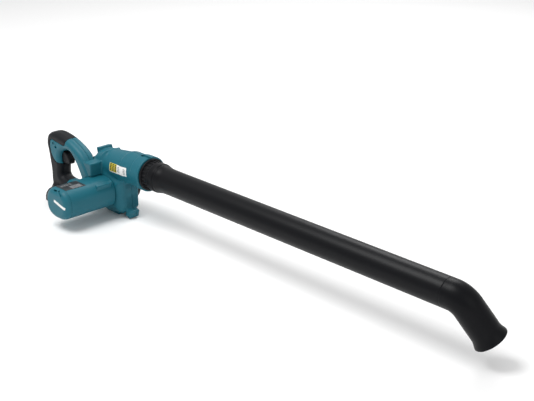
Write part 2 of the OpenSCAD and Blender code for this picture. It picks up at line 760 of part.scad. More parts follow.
// The tip plugs into the tube with a thin socket, then bends and ends in a flared lip. The bend's wall
// is a hair thinner than the straight parts, which lap over its ends.
module rolled() { translate([tube_end_x, 0, duct_rise]) rotate([tip_roll, 0, 0]) children(); }
module tip_bend_part(r) {
    rolled() translate([tip_flange, 0, -bend_r]) rotate([90, 0, 0]) rotate([0, 0, 90 - tip_bend])
        rotate_extrude(angle = tip_bend) translate([bend_r, 0]) circle(r = r);
}
module tip_straight_part(r, end) {
    rolled() translate([tip_flange, 0, -bend_r]) rotate([0, tip_bend, 0]) translate([0, 0, bend_r])
        rotate([0, 90, 0]) rotate_extrude()
            polygon([[0, -tip_lap], [r, -tip_lap], [r, tip_len - lip_len], [r + lip_flare, tip_len],
                     [r + lip_flare, end], [0, end]]);
}
module nozzle_tip() {
    color(black) grounded() difference() {
        union() {
            xcyl(tube_bore_r - seat_gap / 4, tube_end_x - tip_socket_len, tube_end_x + 1);
            xcyl(tube_r, tube_end_x, tube_end_x + tip_flange + tip_lap);
            tip_bend_part(tube_r - tip_thin);
            tip_straight_part(tube_r, tip_len + 0.5);
        }
        xcyl(tube_bore_r - tube_wall, tube_end_x - tip_socket_len - 1, tube_end_x + tip_flange + tip_lap);
        tip_bend_part(tube_bore_r - tip_thin);
        tip_straight_part(tube_bore_r, tip_len + 2);
    }
}

scroll_right();
scroll_left();
intake_guard();
motor_housing();
motor_end_cap();
handle_shell_right();
handle_shell_left();
soft_grip();
battery_base();
terminal_block();
battery_terminals();
controller_board();
trigger();
trigger_spring();
switch_body();
impeller();
impeller_nut();
motor_shaft();
motor_can();
field_magnets();
armature_core();
armature_windings();
commutator();
brush_end_bell();
carbon_brushes();
front_bearing();
rear_bearing();
case_screws();
guard_screws();
motor_screws();
power_leads();
nozzle_coupling();
coupling_seal();
nozzle_tube();
nozzle_tip();
rating_plate();
duct_label();
cap_stripe();
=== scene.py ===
"""Cordless garden blower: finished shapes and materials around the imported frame.

Pieces are drawn in millimetres in the object's own frame: X forward along the nozzle, Y to the user's left
and Z up, with the origin on the foot below the fan axis. They turn to metres when their meshes are made and
at the inputs of the node trees. The studio is in metres.
"""

from __future__ import annotations

import logging
import math
from dataclasses import dataclass, field
from enum import Enum
from typing import Callable, Iterable, Sequence

import bpy
import numpy as np
from mathutils import Matrix, Vector

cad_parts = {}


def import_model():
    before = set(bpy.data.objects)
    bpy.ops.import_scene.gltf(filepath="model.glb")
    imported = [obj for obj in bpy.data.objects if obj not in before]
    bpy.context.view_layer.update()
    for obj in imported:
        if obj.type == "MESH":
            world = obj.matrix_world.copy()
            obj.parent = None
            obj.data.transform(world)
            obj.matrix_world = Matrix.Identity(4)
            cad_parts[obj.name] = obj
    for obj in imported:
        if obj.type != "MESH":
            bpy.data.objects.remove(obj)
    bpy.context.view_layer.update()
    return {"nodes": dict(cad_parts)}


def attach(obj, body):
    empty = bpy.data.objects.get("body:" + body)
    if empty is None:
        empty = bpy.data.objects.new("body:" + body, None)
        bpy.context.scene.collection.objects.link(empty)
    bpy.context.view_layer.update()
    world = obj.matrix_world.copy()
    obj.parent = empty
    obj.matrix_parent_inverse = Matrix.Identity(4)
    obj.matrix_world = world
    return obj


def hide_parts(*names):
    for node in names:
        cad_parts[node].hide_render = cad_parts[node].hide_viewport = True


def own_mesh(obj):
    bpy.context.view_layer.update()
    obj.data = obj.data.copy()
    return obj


LOG = logging.getLogger("blower")
MM = 0.001
Array = np.ndarray
Grid = tuple[Array, Array, Array]
Field = Callable[[Grid], Array]
Spot = tuple[float, float]
Point = tuple[float, float, float]
Colour = tuple[float, float, float]

FAN_Z = 54.0
DUCT_Z = 108.0
HANDLE_Y = -43.0
HANDLE_HALF = 17.0
HOUSING_Y = -32.0
CAP_Y = -136.0
SEAM = 0.15
CREASE = 40.0


# ---------------------------------------------------------------- distance fields


def join(a: Array, b: Array, blend: float) -> Array:
    """Union of two fields with a fillet of about the blend's size."""
    h = np.clip(0.5 + 0.5 * (b - a) / blend, 0.0, 1.0)
    return b + (a - b) * h - blend * h * (1.0 - h)


def meet(a: Array, b: Array, blend: float) -> Array:
    """Overlap of two fields with a rounded edge."""
    return -join(-a, -b, blend)


def cut(a: Array, b: Array, blend: float) -> Array:
    """The first field less the second, with a rounded edge."""
    return meet(a, -b, blend)


def rounded(w0: Array, w1: Array, edge: float) -> Array:
    """Overlap of two distances whose shared edge is an exact quarter round."""
    u, v = w0 + edge, w1 + edge
    return np.minimum(np.maximum(u, v), 0.0) + np.hypot(np.maximum(u, 0.0), np.maximum(v, 0.0)) - edge


def outline(x: Array, z: Array, points: Sequence[Spot]) -> Array:
    """Signed distance to a closed outline.

    Args:
        x: First coordinate.
        z: Second coordinate.
        points: The outline's corners, in order.

    Returns:
        The distance, negative inside.
    """
    corners = np.asarray(points, float)
    nearest = np.full(np.broadcast(x, z).shape, 1e12)
    inside = np.zeros(nearest.shape, bool)
    for (ax, az), (bx, bz) in zip(corners, np.roll(corners, -1, axis=0)):
        ex, ez = bx - ax, bz - az
        wx, wz = x - ax, z - az
        t = np.clip((wx * ex + wz * ez) / (ex * ex + ez * ez + 1e-12), 0.0, 1.0)
        nearest = np.minimum(nearest, (wx - t * ex) ** 2 + (wz - t * ez) ** 2)
        if abs(ez) > 1e-9:
            inside ^= ((az > z) != (bz > z)) & (x < ex * (z - az) / ez + ax)
    return np.where(inside, -1.0, 1.0) * np.sqrt(nearest)


def slab(flat: Array, y: Array, low: float, high: float, edge: float) -> Array:
    """A flat outline given thickness along Y, with rounded edges."""
    return rounded(flat, np.abs(y - (low + high) / 2) - (high - low) / 2, edge)


def block(where: Grid, centre: Point, half: Point, edge: float, lean: float = 0.0) -> Array:
    """A rounded box.

    Args:
        where: X, Y and Z of the points.
        centre: The box's middle.
        half: Half sizes.
        edge: Radius of its edges.
        lean: Turn about Y, in degrees.

    Returns:
        The distance field.
    """
    x, y, z = where
    c, s = math.cos(math.radians(lean)), math.sin(math.radians(lean))
    u, v, w = x - centre[0], y - centre[1], z - centre[2]
    p = np.abs(c * u - s * w) - half[0] + edge
    q = np.abs(v) - half[1] + edge
    r = np.abs(s * u + c * w) - half[2] + edge
    far = np.sqrt(np.maximum(p, 0.0) ** 2 + np.maximum(q, 0.0) ** 2 + np.maximum(r, 0.0) ** 2)
    return far + np.minimum(np.maximum(p, np.maximum(q, r)), 0.0) - edge


def rod(where: Grid, a: Point, b: Point, ra: float, rb: float, edge: float = 0.0) -> Array:
    """A round bar from a to b whose radius runs from ra to rb, with rounded rims.

    Args:
        where: X, Y and Z of the points.
        a: One end of the axis.
        b: The other end.
        ra: Radius at a.
        rb: Radius at b.
        edge: Radius of the rims.

    Returns:
        The distance field.
    """
    x, y, z = where
    axis = np.array(b, float) - np.array(a, float)
    length = float(np.linalg.norm(axis))
    axis /= length
    u, v, w = x - a[0], y - a[1], z - a[2]
    along = u * axis[0] + v * axis[1] + w * axis[2]
    radial = np.sqrt(np.maximum(u * u + v * v + w * w - along * along, 0.0))
    slope = math.cos(math.atan((rb - ra) / length))
    return rounded(
        (radial - ra - (rb - ra) * along / length) * slope, np.abs(along - length / 2) - length / 2, edge
    )


def smooth_loop(points: Sequence[Spot], steps: int = 6) -> list[Spot]:
    """A smooth closed curve through the points.

    Args:
        points: The points that the curve passes.
        steps: Steps from one point to the next.

    Returns:
        The curve's points.
    """
    p = np.asarray(points, float)
    before, after, last = np.roll(p, 1, 0), np.roll(p, -1, 0), np.roll(p, -2, 0)
    loop: list[Spot] = []
    for i in range(len(p)):
        for k in range(steps):
            t = k / steps
            a, b, c, d = before[i], p[i], after[i], last[i]
            bow, twist = 2 * a - 5 * b + 4 * c - d, 3 * b - a - 3 * c + d
            at = 0.5 * (2 * b + (c - a) * t + bow * t**2 + twist * t**3)
            loop.append((float(at[0]), float(at[1])))
    return loop


def squircle(a: float, b: float, power: float, count: int = 96) -> list[Spot]:
    """A superellipse as an outline.

    Args:
        a: Half its first size.
        b: Half its second size.
        power: 2 gives an ellipse, and more gives squarer corners.
        count: Number of corners.

    Returns:
        The outline's corners.
    """
    turn = np.linspace(0.0, 2 * math.pi, count, endpoint=False)
    c, s = np.cos(turn), np.sin(turn)
    return list(
        zip(a * np.sign(c) * np.abs(c) ** (2 / power), b * np.sign(s) * np.abs(s) ** (2 / power), strict=True)
    )


def fan_spiral() -> list[Spot]:
    """The casing's outline about the fan axis, from the front down, round the rear and up to the duct.

    Returns:
        The outline's corners, as X and height over the axis.
    """
    loop = []
    for a in np.arange(-36.0, 240.1, 4.0):
        r = 47.0 + 27.0 * (max(a, 0.0) / 240.0) ** 2.8
        loop.append((r * math.cos(math.radians(a)), -r * math.sin(math.radians(a))))
    return loop + [(-7.0, 76.5), (5.0, 46.5)]


def housing_hole(x: Array, z: Array) -> Array:
    """The motor housing's outline with a small gap round it."""
    return outline(x, z - FAN_Z, squircle(36.3, 31.8, 2.5, 64))


# ---------------------------------------------------------------- meshes


def skin(shape: Field, low: Point, high: Point, step: float) -> tuple[Array, Array]:
    """Wraps a distance field in a mesh of quads whose corners lie on the surface.

    Args:
        shape: The field, negative inside.
        low: Lower corner of the box that holds it.
        high: Upper corner of that box.
        step: Size of the quads.

    Returns:
        The corners, in millimetres, and the quads.
    """
    axes = [np.arange(low[i] - 0.37 * step, high[i] + step, step) for i in range(3)]
    sizes = tuple(len(a) for a in axes)
    value = np.array(np.broadcast_to(shape(tuple(np.meshgrid(*axes, indexing="ij", sparse=True))), sizes))
    inside = value < 0
    total = sum(
        inside[i : sizes[0] - 1 + i, j : sizes[1] - 1 + j, k : sizes[2] - 1 + k].astype(np.int8)
        for i in (0, 1)
        for j in (0, 1)
        for k in (0, 1)
    )
    cells = np.argwhere((total > 0) & (total < 8))
    number = np.full(total.shape, -1, np.int64)
    number[tuple(cells.T)] = np.arange(len(cells))
    sums, hits = np.zeros((len(cells), 3)), np.zeros(len(cells))
    unit = np.eye(3, dtype=int)
    for along in range(3):
        u, v = unit[(along + 1) % 3], unit[(along + 2) % 3]
        for start in (0 * u, u, v, u + v):
            a = value[tuple((cells + start).T)]
            b = value[tuple((cells + start + unit[along]).T)]
            crossed = (a < 0) != (b < 0)
            t = np.where(crossed, a / np.where(crossed, a - b, 1.0), 0.0)
            sums += crossed[:, None] * (start + t[:, None] * unit[along])
            hits += crossed
    corners = np.array([a[0] for a in axes]) + (cells + sums / hits[:, None]) * step
    quads = []
    for along in range(3):
        u, v = unit[(along + 1) % 3], unit[(along + 2) % 3]
        begin, end = [slice(None)] * 3, [slice(None)] * 3
        begin[along], end[along] = slice(None, -1), slice(1, None)
        here = np.argwhere(inside[tuple(begin)] != inside[tuple(end)])
        for other in ((along + 1) % 3, (along + 2) % 3):
            here = here[(here[:, other] > 0) & (here[:, other] < total.shape[other])]
        ring = np.stack([number[tuple((here - back).T)] for back in (u + v, v, 0 * u, u)], axis=1)
        outward = inside[tuple(here.T)]
        ring[~outward] = ring[~outward][:, ::-1]
        quads.append(ring)
    faces = np.concatenate(quads)
    for _ in range(3):
        corners = settle(shape, corners, 0.45 * step)
    return corners, faces


def settle(shape: Field, corners: Array, reach: float) -> Array:
    """Moves each corner towards the surface along the field's slope.

    Args:
        shape: The field, negative inside.
        corners: The corners to move.
        reach: The furthest that a corner may move.

    Returns:
        The moved corners.
    """
    x, y, z = corners.T
    here = shape((x, y, z))
    nudge = 0.05
    beside = [(x + nudge, y, z), (x, y + nudge, z), (x, y, z + nudge)]
    slope = np.stack([shape(points) - here for points in beside], axis=1) / nudge
    size = np.maximum((slope**2).sum(axis=1), 0.2)
    shift = slope * (here / size)[:, None]
    length = np.linalg.norm(shift, axis=1)
    shift *= np.minimum(1.0, reach / np.maximum(length, 1e-9))[:, None]
    return corners - shift


def lathe(profile: Sequence[Spot], turns: int = 96) -> tuple[Array, Array]:
    """Spins a closed profile of (along, radius) about the X axis.

    Args:
        profile: Corners of the wall's section, anticlockwise with X to the right and the radius up.
        turns: Steps round the axis.

    Returns:
        The corners and the quads, with the axis on Y = Z = 0.
    """
    ring = np.asarray(profile, float)
    turn = np.linspace(0.0, 2 * math.pi, turns, endpoint=False)
    corners = np.stack(
        [
            np.repeat(ring[None, :, 0], turns, 0),
            ring[None, :, 1] * np.cos(turn)[:, None],
            ring[None, :, 1] * np.sin(turn)[:, None],
        ],
        axis=2,
    ).reshape(-1, 3)
    count = len(ring)
    i, j = np.meshgrid(np.arange(turns), np.arange(count), indexing="ij")
    i, j = i.ravel(), j.ravel()
    k, m = (i + 1) % turns, (j + 1) % count
    faces = np.stack([i * count + j, i * count + m, k * count + m, k * count + j], axis=1)
    return corners, faces


def fillet(profile: Sequence[Point], steps: int = 5) -> list[Spot]:
    """Rounds a profile's corners, each by the radius that it carries as a third number.

    Args:
        profile: Corners as (along, radius, corner radius).
        steps: Steps round each corner.

    Returns:
        The rounded profile as (along, radius).
    """
    rounded_profile: list[Spot] = []
    count = len(profile)
    for i in range(count):
        at = np.array(profile[i][:2], float)
        radius = profile[i][2]
        if radius <= 0:
            rounded_profile.append((float(at[0]), float(at[1])))
            continue
        back = np.array(profile[i - 1][:2], float) - at
        on = np.array(profile[(i + 1) % count][:2], float) - at
        reach = min(radius, 0.45 * float(np.linalg.norm(back)), 0.45 * float(np.linalg.norm(on)))
        start, end = at + back / np.linalg.norm(back) * reach, at + on / np.linalg.norm(on) * reach
        for k in range(steps + 1):
            t = k / steps
            p = (1 - t) ** 2 * start + 2 * t * (1 - t) * at + t**2 * end
            rounded_profile.append((float(p[0]), float(p[1])))
    return rounded_profile


def mesh_object(
    name: str, corners: Array, faces: Iterable[Sequence[int]], crease: float = CREASE
) -> bpy.types.Object:
    """Makes an object at the origin from millimetre corners, shaded smooth up to the crease angle.

    Args:
        name: Name of the object.
        corners: Corners in millimetres.
        faces: Each face's corners, anticlockwise from outside.
        crease: Edges sharper than this angle, in degrees, stay sharp.

    Returns:
        The object.
    """
    mesh = bpy.data.meshes.new(name)
    rings = [[int(i) for i in ring] for ring in faces]
    mesh.from_pydata((np.asarray(corners) * MM).tolist(), [], rings)
    mesh.update()
    mesh.shade_smooth()
    mesh.set_sharp_from_angle(angle=math.radians(crease))
    made = bpy.data.objects.new(name, mesh)
    bpy.context.scene.collection.objects.link(made)
    return made


def unit_block(half: Point, centre: Point, bevel: float) -> tuple[Array, Array]:
    """Corners and faces of a small box with chamfered edges.

    Args:
        half: Half sizes.
        centre: The box's middle.
        bevel: Width of the chamfers.

    Returns:
        The corners and the faces.
    """
    corners, faces, index = [], [], {}
    for sx in (-1, 1):
        for sy in (-1, 1):
            for sz in (-1, 1):
                for pulled in range(3):
                    at = [sx * half[0], sy * half[1], sz * half[2]]
                    for other in range(3):
                        if other != pulled:
                            at[other] -= math.copysign(bevel, at[other])
                    index[(sx, sy, sz, pulled)] = len(corners)
                    corners.append(np.array(at) + np.array(centre))
    for axis in range(3):
        u, v = (axis + 1) % 3, (axis + 2) % 3
        for side in (-1, 1):
            ring = []
            for su, sv in ((-1, -1), (1, -1), (1, 1), (-1, 1)):
                key = [0, 0, 0]
                key[axis], key[u], key[v] = side, su, sv
                ring.append(index[(*key, axis)])
            faces.append(ring if side > 0 else ring[::-1])
        for su in (-1, 1):
            for sv in (-1, 1):
                ends = []
                for side in (-1, 1):
                    key = [0, 0, 0]
                    key[axis], key[u], key[v] = side, su, sv
                    ends.append((index[(*key, u)], index[(*key, v)]))
                ring = [ends[0][0], ends[1][0], ends[1][1], ends[0][1]]
                faces.append(ring if su * sv < 0 else ring[::-1])
    for sx in (-1, 1):
        for sy in (-1, 1):
            for sz in (-1, 1):
                ring = [index[(sx, sy, sz, k)] for k in range(3)]
                faces.append(ring if sx * sy * sz > 0 else ring[::-1])
    return np.array(corners), faces


# ---------------------------------------------------------------- finishes


class Grain(Enum):
    """How a finish's fine texture lies."""

    MOULDED = "moulded"
    ALONG_X = "along_x"
    TURNED = "turned"


@dataclass(frozen=True)
class Finish:
    """One surface finish, with its grain, its shade variation and its wear."""

    name: str
    colour: Colour
    roughness: float
    metallic: float = 0.0
    grain_mm: float = 0.6
    grain_depth_mm: float = 0.02
    mottle: float = 0.06
    wear: float = 0.25
    coat: float = 0.0
    sheen: float = 0.0
    specular: float = 0.5
    grain: Grain = Grain.MOULDED

    def make(self) -> bpy.types.Material:
        """Builds the node material, or returns it if it is already there.

        Returns:
            The material.
        """
        if self.name in bpy.data.materials:
            return bpy.data.materials[self.name]
        material = bpy.data.materials.new(self.name)
        material.use_nodes = True
        nodes, links = material.node_tree.nodes, material.node_tree.links
        shader = nodes["Principled BSDF"]
        shader.inputs["Metallic"].default_value = self.metallic
        shader.inputs["Coat Weight"].default_value = self.coat
        shader.inputs["Coat Roughness"].default_value = 0.25
        shader.inputs["Sheen Weight"].default_value = self.sheen
        shader.inputs["Specular IOR Level"].default_value = self.specular
        place = nodes.new("ShaderNodeTexCoord")
        mapping = nodes.new("ShaderNodeMapping")
        mapping.inputs["Scale"].default_value = {
            Grain.MOULDED: (1.0, 1.0, 1.0),
            Grain.ALONG_X: (0.03, 1.0, 1.0),
            Grain.TURNED: (1.0, 0.04, 1.0),
        }[self.grain]
        links.new(place.outputs["Object"], mapping.inputs["Vector"])

        fine = nodes.new("ShaderNodeTexNoise")
        fine.inputs["Scale"].default_value = 1.0 / (self.grain_mm * MM)
        fine.inputs["Detail"].default_value = 3.0
        links.new(mapping.outputs["Vector"], fine.inputs["Vector"])
        broad = nodes.new("ShaderNodeTexNoise")
        broad.inputs["Scale"].default_value = 26.0
        broad.inputs["Detail"].default_value = 4.0
        links.new(place.outputs["Object"], broad.inputs["Vector"])

        tint = nodes.new("ShaderNodeMix")
        tint.data_type = "RGBA"
        dark = tuple(c * (1 - self.mottle) for c in self.colour)
        light = tuple(min(1.0, c * (1 + self.mottle)) for c in self.colour)
        tint.inputs["A"].default_value = (*dark, 1.0)
        tint.inputs["B"].default_value = (*light, 1.0)
        links.new(broad.outputs["Fac"], tint.inputs["Factor"])

        shape = nodes.new("ShaderNodeNewGeometry")
        edge = nodes.new("ShaderNodeMapRange")
        edge.inputs["From Min"].default_value = 0.52
        edge.inputs["From Max"].default_value = 0.62
        links.new(shape.outputs["Pointiness"], edge.inputs["Value"])
        patchy = nodes.new("ShaderNodeMath")
        patchy.operation = "MULTIPLY"
        links.new(edge.outputs["Result"], patchy.inputs[0])
        links.new(broad.outputs["Fac"], patchy.inputs[1])
        strength = nodes.new("ShaderNodeMath")
        strength.operation = "MULTIPLY"
        strength.inputs[1].default_value = self.wear
        links.new(patchy.outputs[0], strength.inputs[0])
        worn = nodes.new("ShaderNodeMix")
        worn.data_type = "RGBA"
        worn.inputs["B"].default_value = (*(min(1.0, c * 1.5 + 0.06) for c in self.colour), 1.0)
        links.new(strength.outputs[0], worn.inputs["Factor"])
        links.new(tint.outputs["Result"], worn.inputs["A"])
        links.new(worn.outputs["Result"], shader.inputs["Base Color"])

        rough = nodes.new("ShaderNodeMapRange")
        rough.inputs["To Min"].default_value = max(0.05, self.roughness - 0.05)
        rough.inputs["To Max"].default_value = min(1.0, self.roughness + 0.07)
        links.new(fine.outputs["Fac"], rough.inputs["Value"])
        links.new(rough.outputs["Result"], shader.inputs["Roughness"])

        bump = nodes.new("ShaderNodeBump")
        bump.inputs["Strength"].default_value = 0.6
        bump.inputs["Distance"].default_value = self.grain_depth_mm * MM
        links.new(fine.outputs["Fac"], bump.inputs["Height"])
        links.new(bump.outputs["Normal"], shader.inputs["Normal"])
        return material


TEAL = Finish(
    "teal_moulding", (0.008, 0.118, 0.160), 0.44, grain_mm=0.5, grain_depth_mm=0.03, wear=0.2, specular=0.28
)
BLACK = Finish(
    "black_moulding", (0.007, 0.0075, 0.009), 0.40, grain_mm=0.5, grain_depth_mm=0.03, wear=0.1, specular=0.15
)
ELASTOMER = Finish(
    "grip_elastomer", (0.006, 0.007, 0.009), 0.5, grain_mm=0.9, grain_depth_mm=0.04, wear=0.1, specular=0.2
)
TUBE = Finish(
    "drawn_black_tube",
    (0.003, 0.0033, 0.0045),
    0.37,
    grain_mm=0.5,
    grain_depth_mm=0.01,
    wear=0.05,
    specular=0.15,
    grain=Grain.ALONG_X,
)
TIP = Finish(
    "moulded_black_tip",
    (0.003, 0.0033, 0.0045),
    0.37,
    grain_mm=0.6,
    grain_depth_mm=0.015,
    wear=0.05,
    specular=0.13,
)
FAN = Finish("fan_moulding", (0.030, 0.030, 0.033), 0.45)
STEEL = Finish(
    "plated_steel",
    (0.55, 0.55, 0.57),
    0.28,
    metallic=1.0,
    grain_mm=0.25,
    grain_depth_mm=0.006,
    grain=Grain.TURNED,
)
SPRING = Finish("spring_wire", (0.45, 0.45, 0.47), 0.22, metallic=1.0, grain_mm=0.2, grain_depth_mm=0.004)
SHEETS = Finish("core_sheets", (0.30, 0.30, 0.32), 0.38, metallic=1.0, grain_mm=0.35, grain_depth_mm=0.02)
COPPER = Finish(
    "enamelled_copper", (0.55, 0.22, 0.10), 0.30, metallic=1.0, grain_mm=0.5, grain_depth_mm=0.02, coat=0.4
)
FERRITE = Finish("ferrite", (0.055, 0.055, 0.060), 0.70, grain_mm=0.4, grain_depth_mm=0.03, mottle=0.15)
CARBON = Finish("carbon", (0.020, 0.020, 0.021), 0.60, grain_mm=0.3, grain_depth_mm=0.03, mottle=0.2)
GREY = Finish("grey_moulding", (0.060, 0.060, 0.064), 0.45)
BOARD = Finish("board_lacquer", (0.010, 0.110, 0.040), 0.30, grain_mm=1.2, grain_depth_mm=0.01, coat=0.5)
LEAD = Finish("lead_insulation", (0.300, 0.010, 0.008), 0.45, grain_mm=0.8, grain_depth_mm=0.01)
PLATE = Finish(
    "plate_film", (0.012, 0.013, 0.015), 0.30, grain_mm=1.5, grain_depth_mm=0.006, wear=0.1, coat=0.3
)
YELLOW = Finish(
    "yellow_print", (0.640, 0.520, 0.020), 0.35, grain_mm=1.5, grain_depth_mm=0.004, mottle=0.04, wear=0.1
)
WHITE = Finish(
    "white_print", (0.800, 0.800, 0.780), 0.35, grain_mm=1.5, grain_depth_mm=0.004, mottle=0.03, wear=0.0
)
DARK = Finish("dark_print", (0.030, 0.030, 0.025), 0.40, grain_mm=1.5, grain_depth_mm=0.004, wear=0.0)
PALE = Finish("grey_print", (0.330, 0.340, 0.350), 0.40, grain_mm=1.5, grain_depth_mm=0.004, wear=0.0)


# ---------------------------------------------------------------- geometry node trees


class Tree:
    """A geometry node tree with named inputs that turns one mesh into another."""

    def __init__(self, name: str) -> None:
        """Starts the tree with a geometry input and output.

        Args:
            name: Name of the tree.
        """
        self.tree = bpy.data.node_groups.new(name, "GeometryNodeTree")
        self.tree.interface.new_socket(name="Geometry", in_out="INPUT", socket_type="NodeSocketGeometry")
        self.tree.interface.new_socket(name="Geometry", in_out="OUTPUT", socket_type="NodeSocketGeometry")
        self.start = self.tree.nodes.new("NodeGroupInput")
        self.end = self.tree.nodes.new("NodeGroupOutput")
        self.identifiers: dict[str, str] = {}
        self.add_input("Material", "NodeSocketMaterial")

    def add_input(self, name: str, kind: str) -> bpy.types.NodeSocket:
        """Adds a named input.

        Args:
            name: Name of the input.
            kind: Type of its socket.

        Returns:
            Its socket inside the tree.
        """
        made = self.tree.interface.new_socket(name=name, in_out="INPUT", socket_type=kind)
        self.identifiers[name] = made.identifier
        return self.start.outputs[name]

    def node(self, kind: str, **inputs: object) -> bpy.types.Node:
        """Adds a node and feeds its inputs.

        Args:
            kind: Type of the node.
            **inputs: Sockets to link or values to set, with underscores for spaces.

        Returns:
            The node.
        """
        made = self.tree.nodes.new(kind)
        for key, value in inputs.items():
            self.feed(made.inputs[key.replace("_", " ")], value)
        return made

    def feed(self, socket: bpy.types.NodeSocket, value: object) -> None:
        """Links a socket to a node input, or sets the input's value.

        Args:
            socket: The node's input.
            value: A socket to link, or a value to set.
        """
        if isinstance(value, bpy.types.NodeSocket):
            self.tree.links.new(value, socket)
        else:
            socket.default_value = value

    def math(self, operation: str, a: object, b: object = 0.0) -> bpy.types.NodeSocket:
        """Adds a maths node.

        Args:
            operation: What the node does.
            a: First input.
            b: Second input.

        Returns:
            The node's result.
        """
        made = self.tree.nodes.new("ShaderNodeMath")
        made.operation = operation
        self.feed(made.inputs[0], a)
        self.feed(made.inputs[1], b)
        return made.outputs[0]

    def finish(self, geometry: bpy.types.NodeSocket) -> None:
        """Ends the tree in Realize Instances and Set Material.

        Args:
            geometry: The geometry to end with.
        """
        real = self.node("GeometryNodeRealizeInstances", Geometry=geometry)
        material = self.start.outputs["Material"]
        dressed = self.node("GeometryNodeSetMaterial", Geometry=real.outputs["Geometry"], Material=material)
        self.tree.links.new(dressed.outputs["Geometry"], self.end.inputs["Geometry"])

    def apply(
        self, name: str, source: bpy.types.Object, finish: Finish, **values: object
    ) -> bpy.types.Object:
        """Runs the tree on a source object and keeps the result as a plain mesh.

        Args:
            name: Name of the piece.
            source: The object that feeds the tree; it is removed afterwards.
            finish: The piece's finish.
            **values: The tree's inputs, with underscores for spaces.

        Returns:
            The finished piece.
        """
        modifier = source.modifiers.new(self.tree.name, "NODES")
        modifier.node_group = self.tree
        modifier[self.identifiers["Material"]] = finish.make()
        for key, value in values.items():
            modifier[self.identifiers[key.replace("_", " ")]] = value
        graph = bpy.context.evaluated_depsgraph_get()
        mesh = bpy.data.meshes.new_from_object(source.evaluated_get(graph), depsgraph=graph)
        source.modifiers.remove(modifier)
        bpy.data.objects.remove(source)
        mesh.shade_smooth()
        mesh.set_sharp_from_angle(angle=math.radians(CREASE))
        made = bpy.data.objects.new(name, mesh)
        bpy.context.scene.collection.objects.link(made)
        return made


def ring_tree() -> Tree:
    """A tree that repeats its mesh round an axis.

    Returns:
        The tree.
    """
    tree = Tree("ring_of_copies")
    count = tree.add_input("Count", "NodeSocketInt")
    start = tree.add_input("Start", "NodeSocketFloat")
    axis = tree.add_input("Axis", "NodeSocketVector")
    centre = tree.add_input("Centre", "NodeSocketVector")
    points = tree.node("GeometryNodePoints", Count=count, Position=centre)
    index = tree.node("GeometryNodeInputIndex").outputs["Index"]
    share = tree.math("DIVIDE", index, count)
    angle = tree.math("ADD", tree.math("MULTIPLY", share, 2 * math.pi), start)
    turn = tree.node("FunctionNodeAxisAngleToRotation", Axis=axis, Angle=angle)
    copies = tree.node(
        "GeometryNodeInstanceOnPoints",
        Points=points.outputs[0],
        Instance=tree.start.outputs["Geometry"],
        Rotation=turn.outputs["Rotation"],
    )
    tree.finish(copies.outputs["Instances"])
    return tree


def row_tree() -> Tree:
    """A tree that repeats its mesh in rows and columns.

    Returns:
        The tree.
    """
    tree = Tree("rows_of_copies")
    count = tree.add_input("Count", "NodeSocketInt")
    step = tree.add_input("Step", "NodeSocketVector")
    rows = tree.add_input("Rows", "NodeSocketInt")
    row_step = tree.add_input("Row Step", "NodeSocketVector")
    total = tree.math("MULTIPLY", count, rows)
    index = tree.node("GeometryNodeInputIndex").outputs["Index"]
    row = tree.math("FLOOR", tree.math("DIVIDE", tree.math("ADD", index, 0.5), count))
    column = tree.math("SUBTRACT", index, tree.math("MULTIPLY", row, count))
    along = tree.tree.nodes.new("ShaderNodeVectorMath")
    along.operation = "SCALE"
    tree.feed(along.inputs[0], step)
    tree.feed(along.inputs["Scale"], column)
    across = tree.tree.nodes.new("ShaderNodeVectorMath")
    across.operation = "SCALE"
    tree.feed(across.inputs[0], row_step)
    tree.feed(across.inputs["Scale"], row)
    at = tree.tree.nodes.new("ShaderNodeVectorMath")
    tree.feed(at.inputs[0], along.outputs[0])
    tree.feed(at.inputs[1], across.outputs[0])
    points = tree.node("GeometryNodePoints", Count=total, Position=at.outputs[0])
    copies = tree.node(
        "GeometryNodeInstanceOnPoints", Points=points.outputs[0], Instance=tree.start.outputs["Geometry"]
    )
    tree.finish(copies.outputs["Instances"])
    return tree


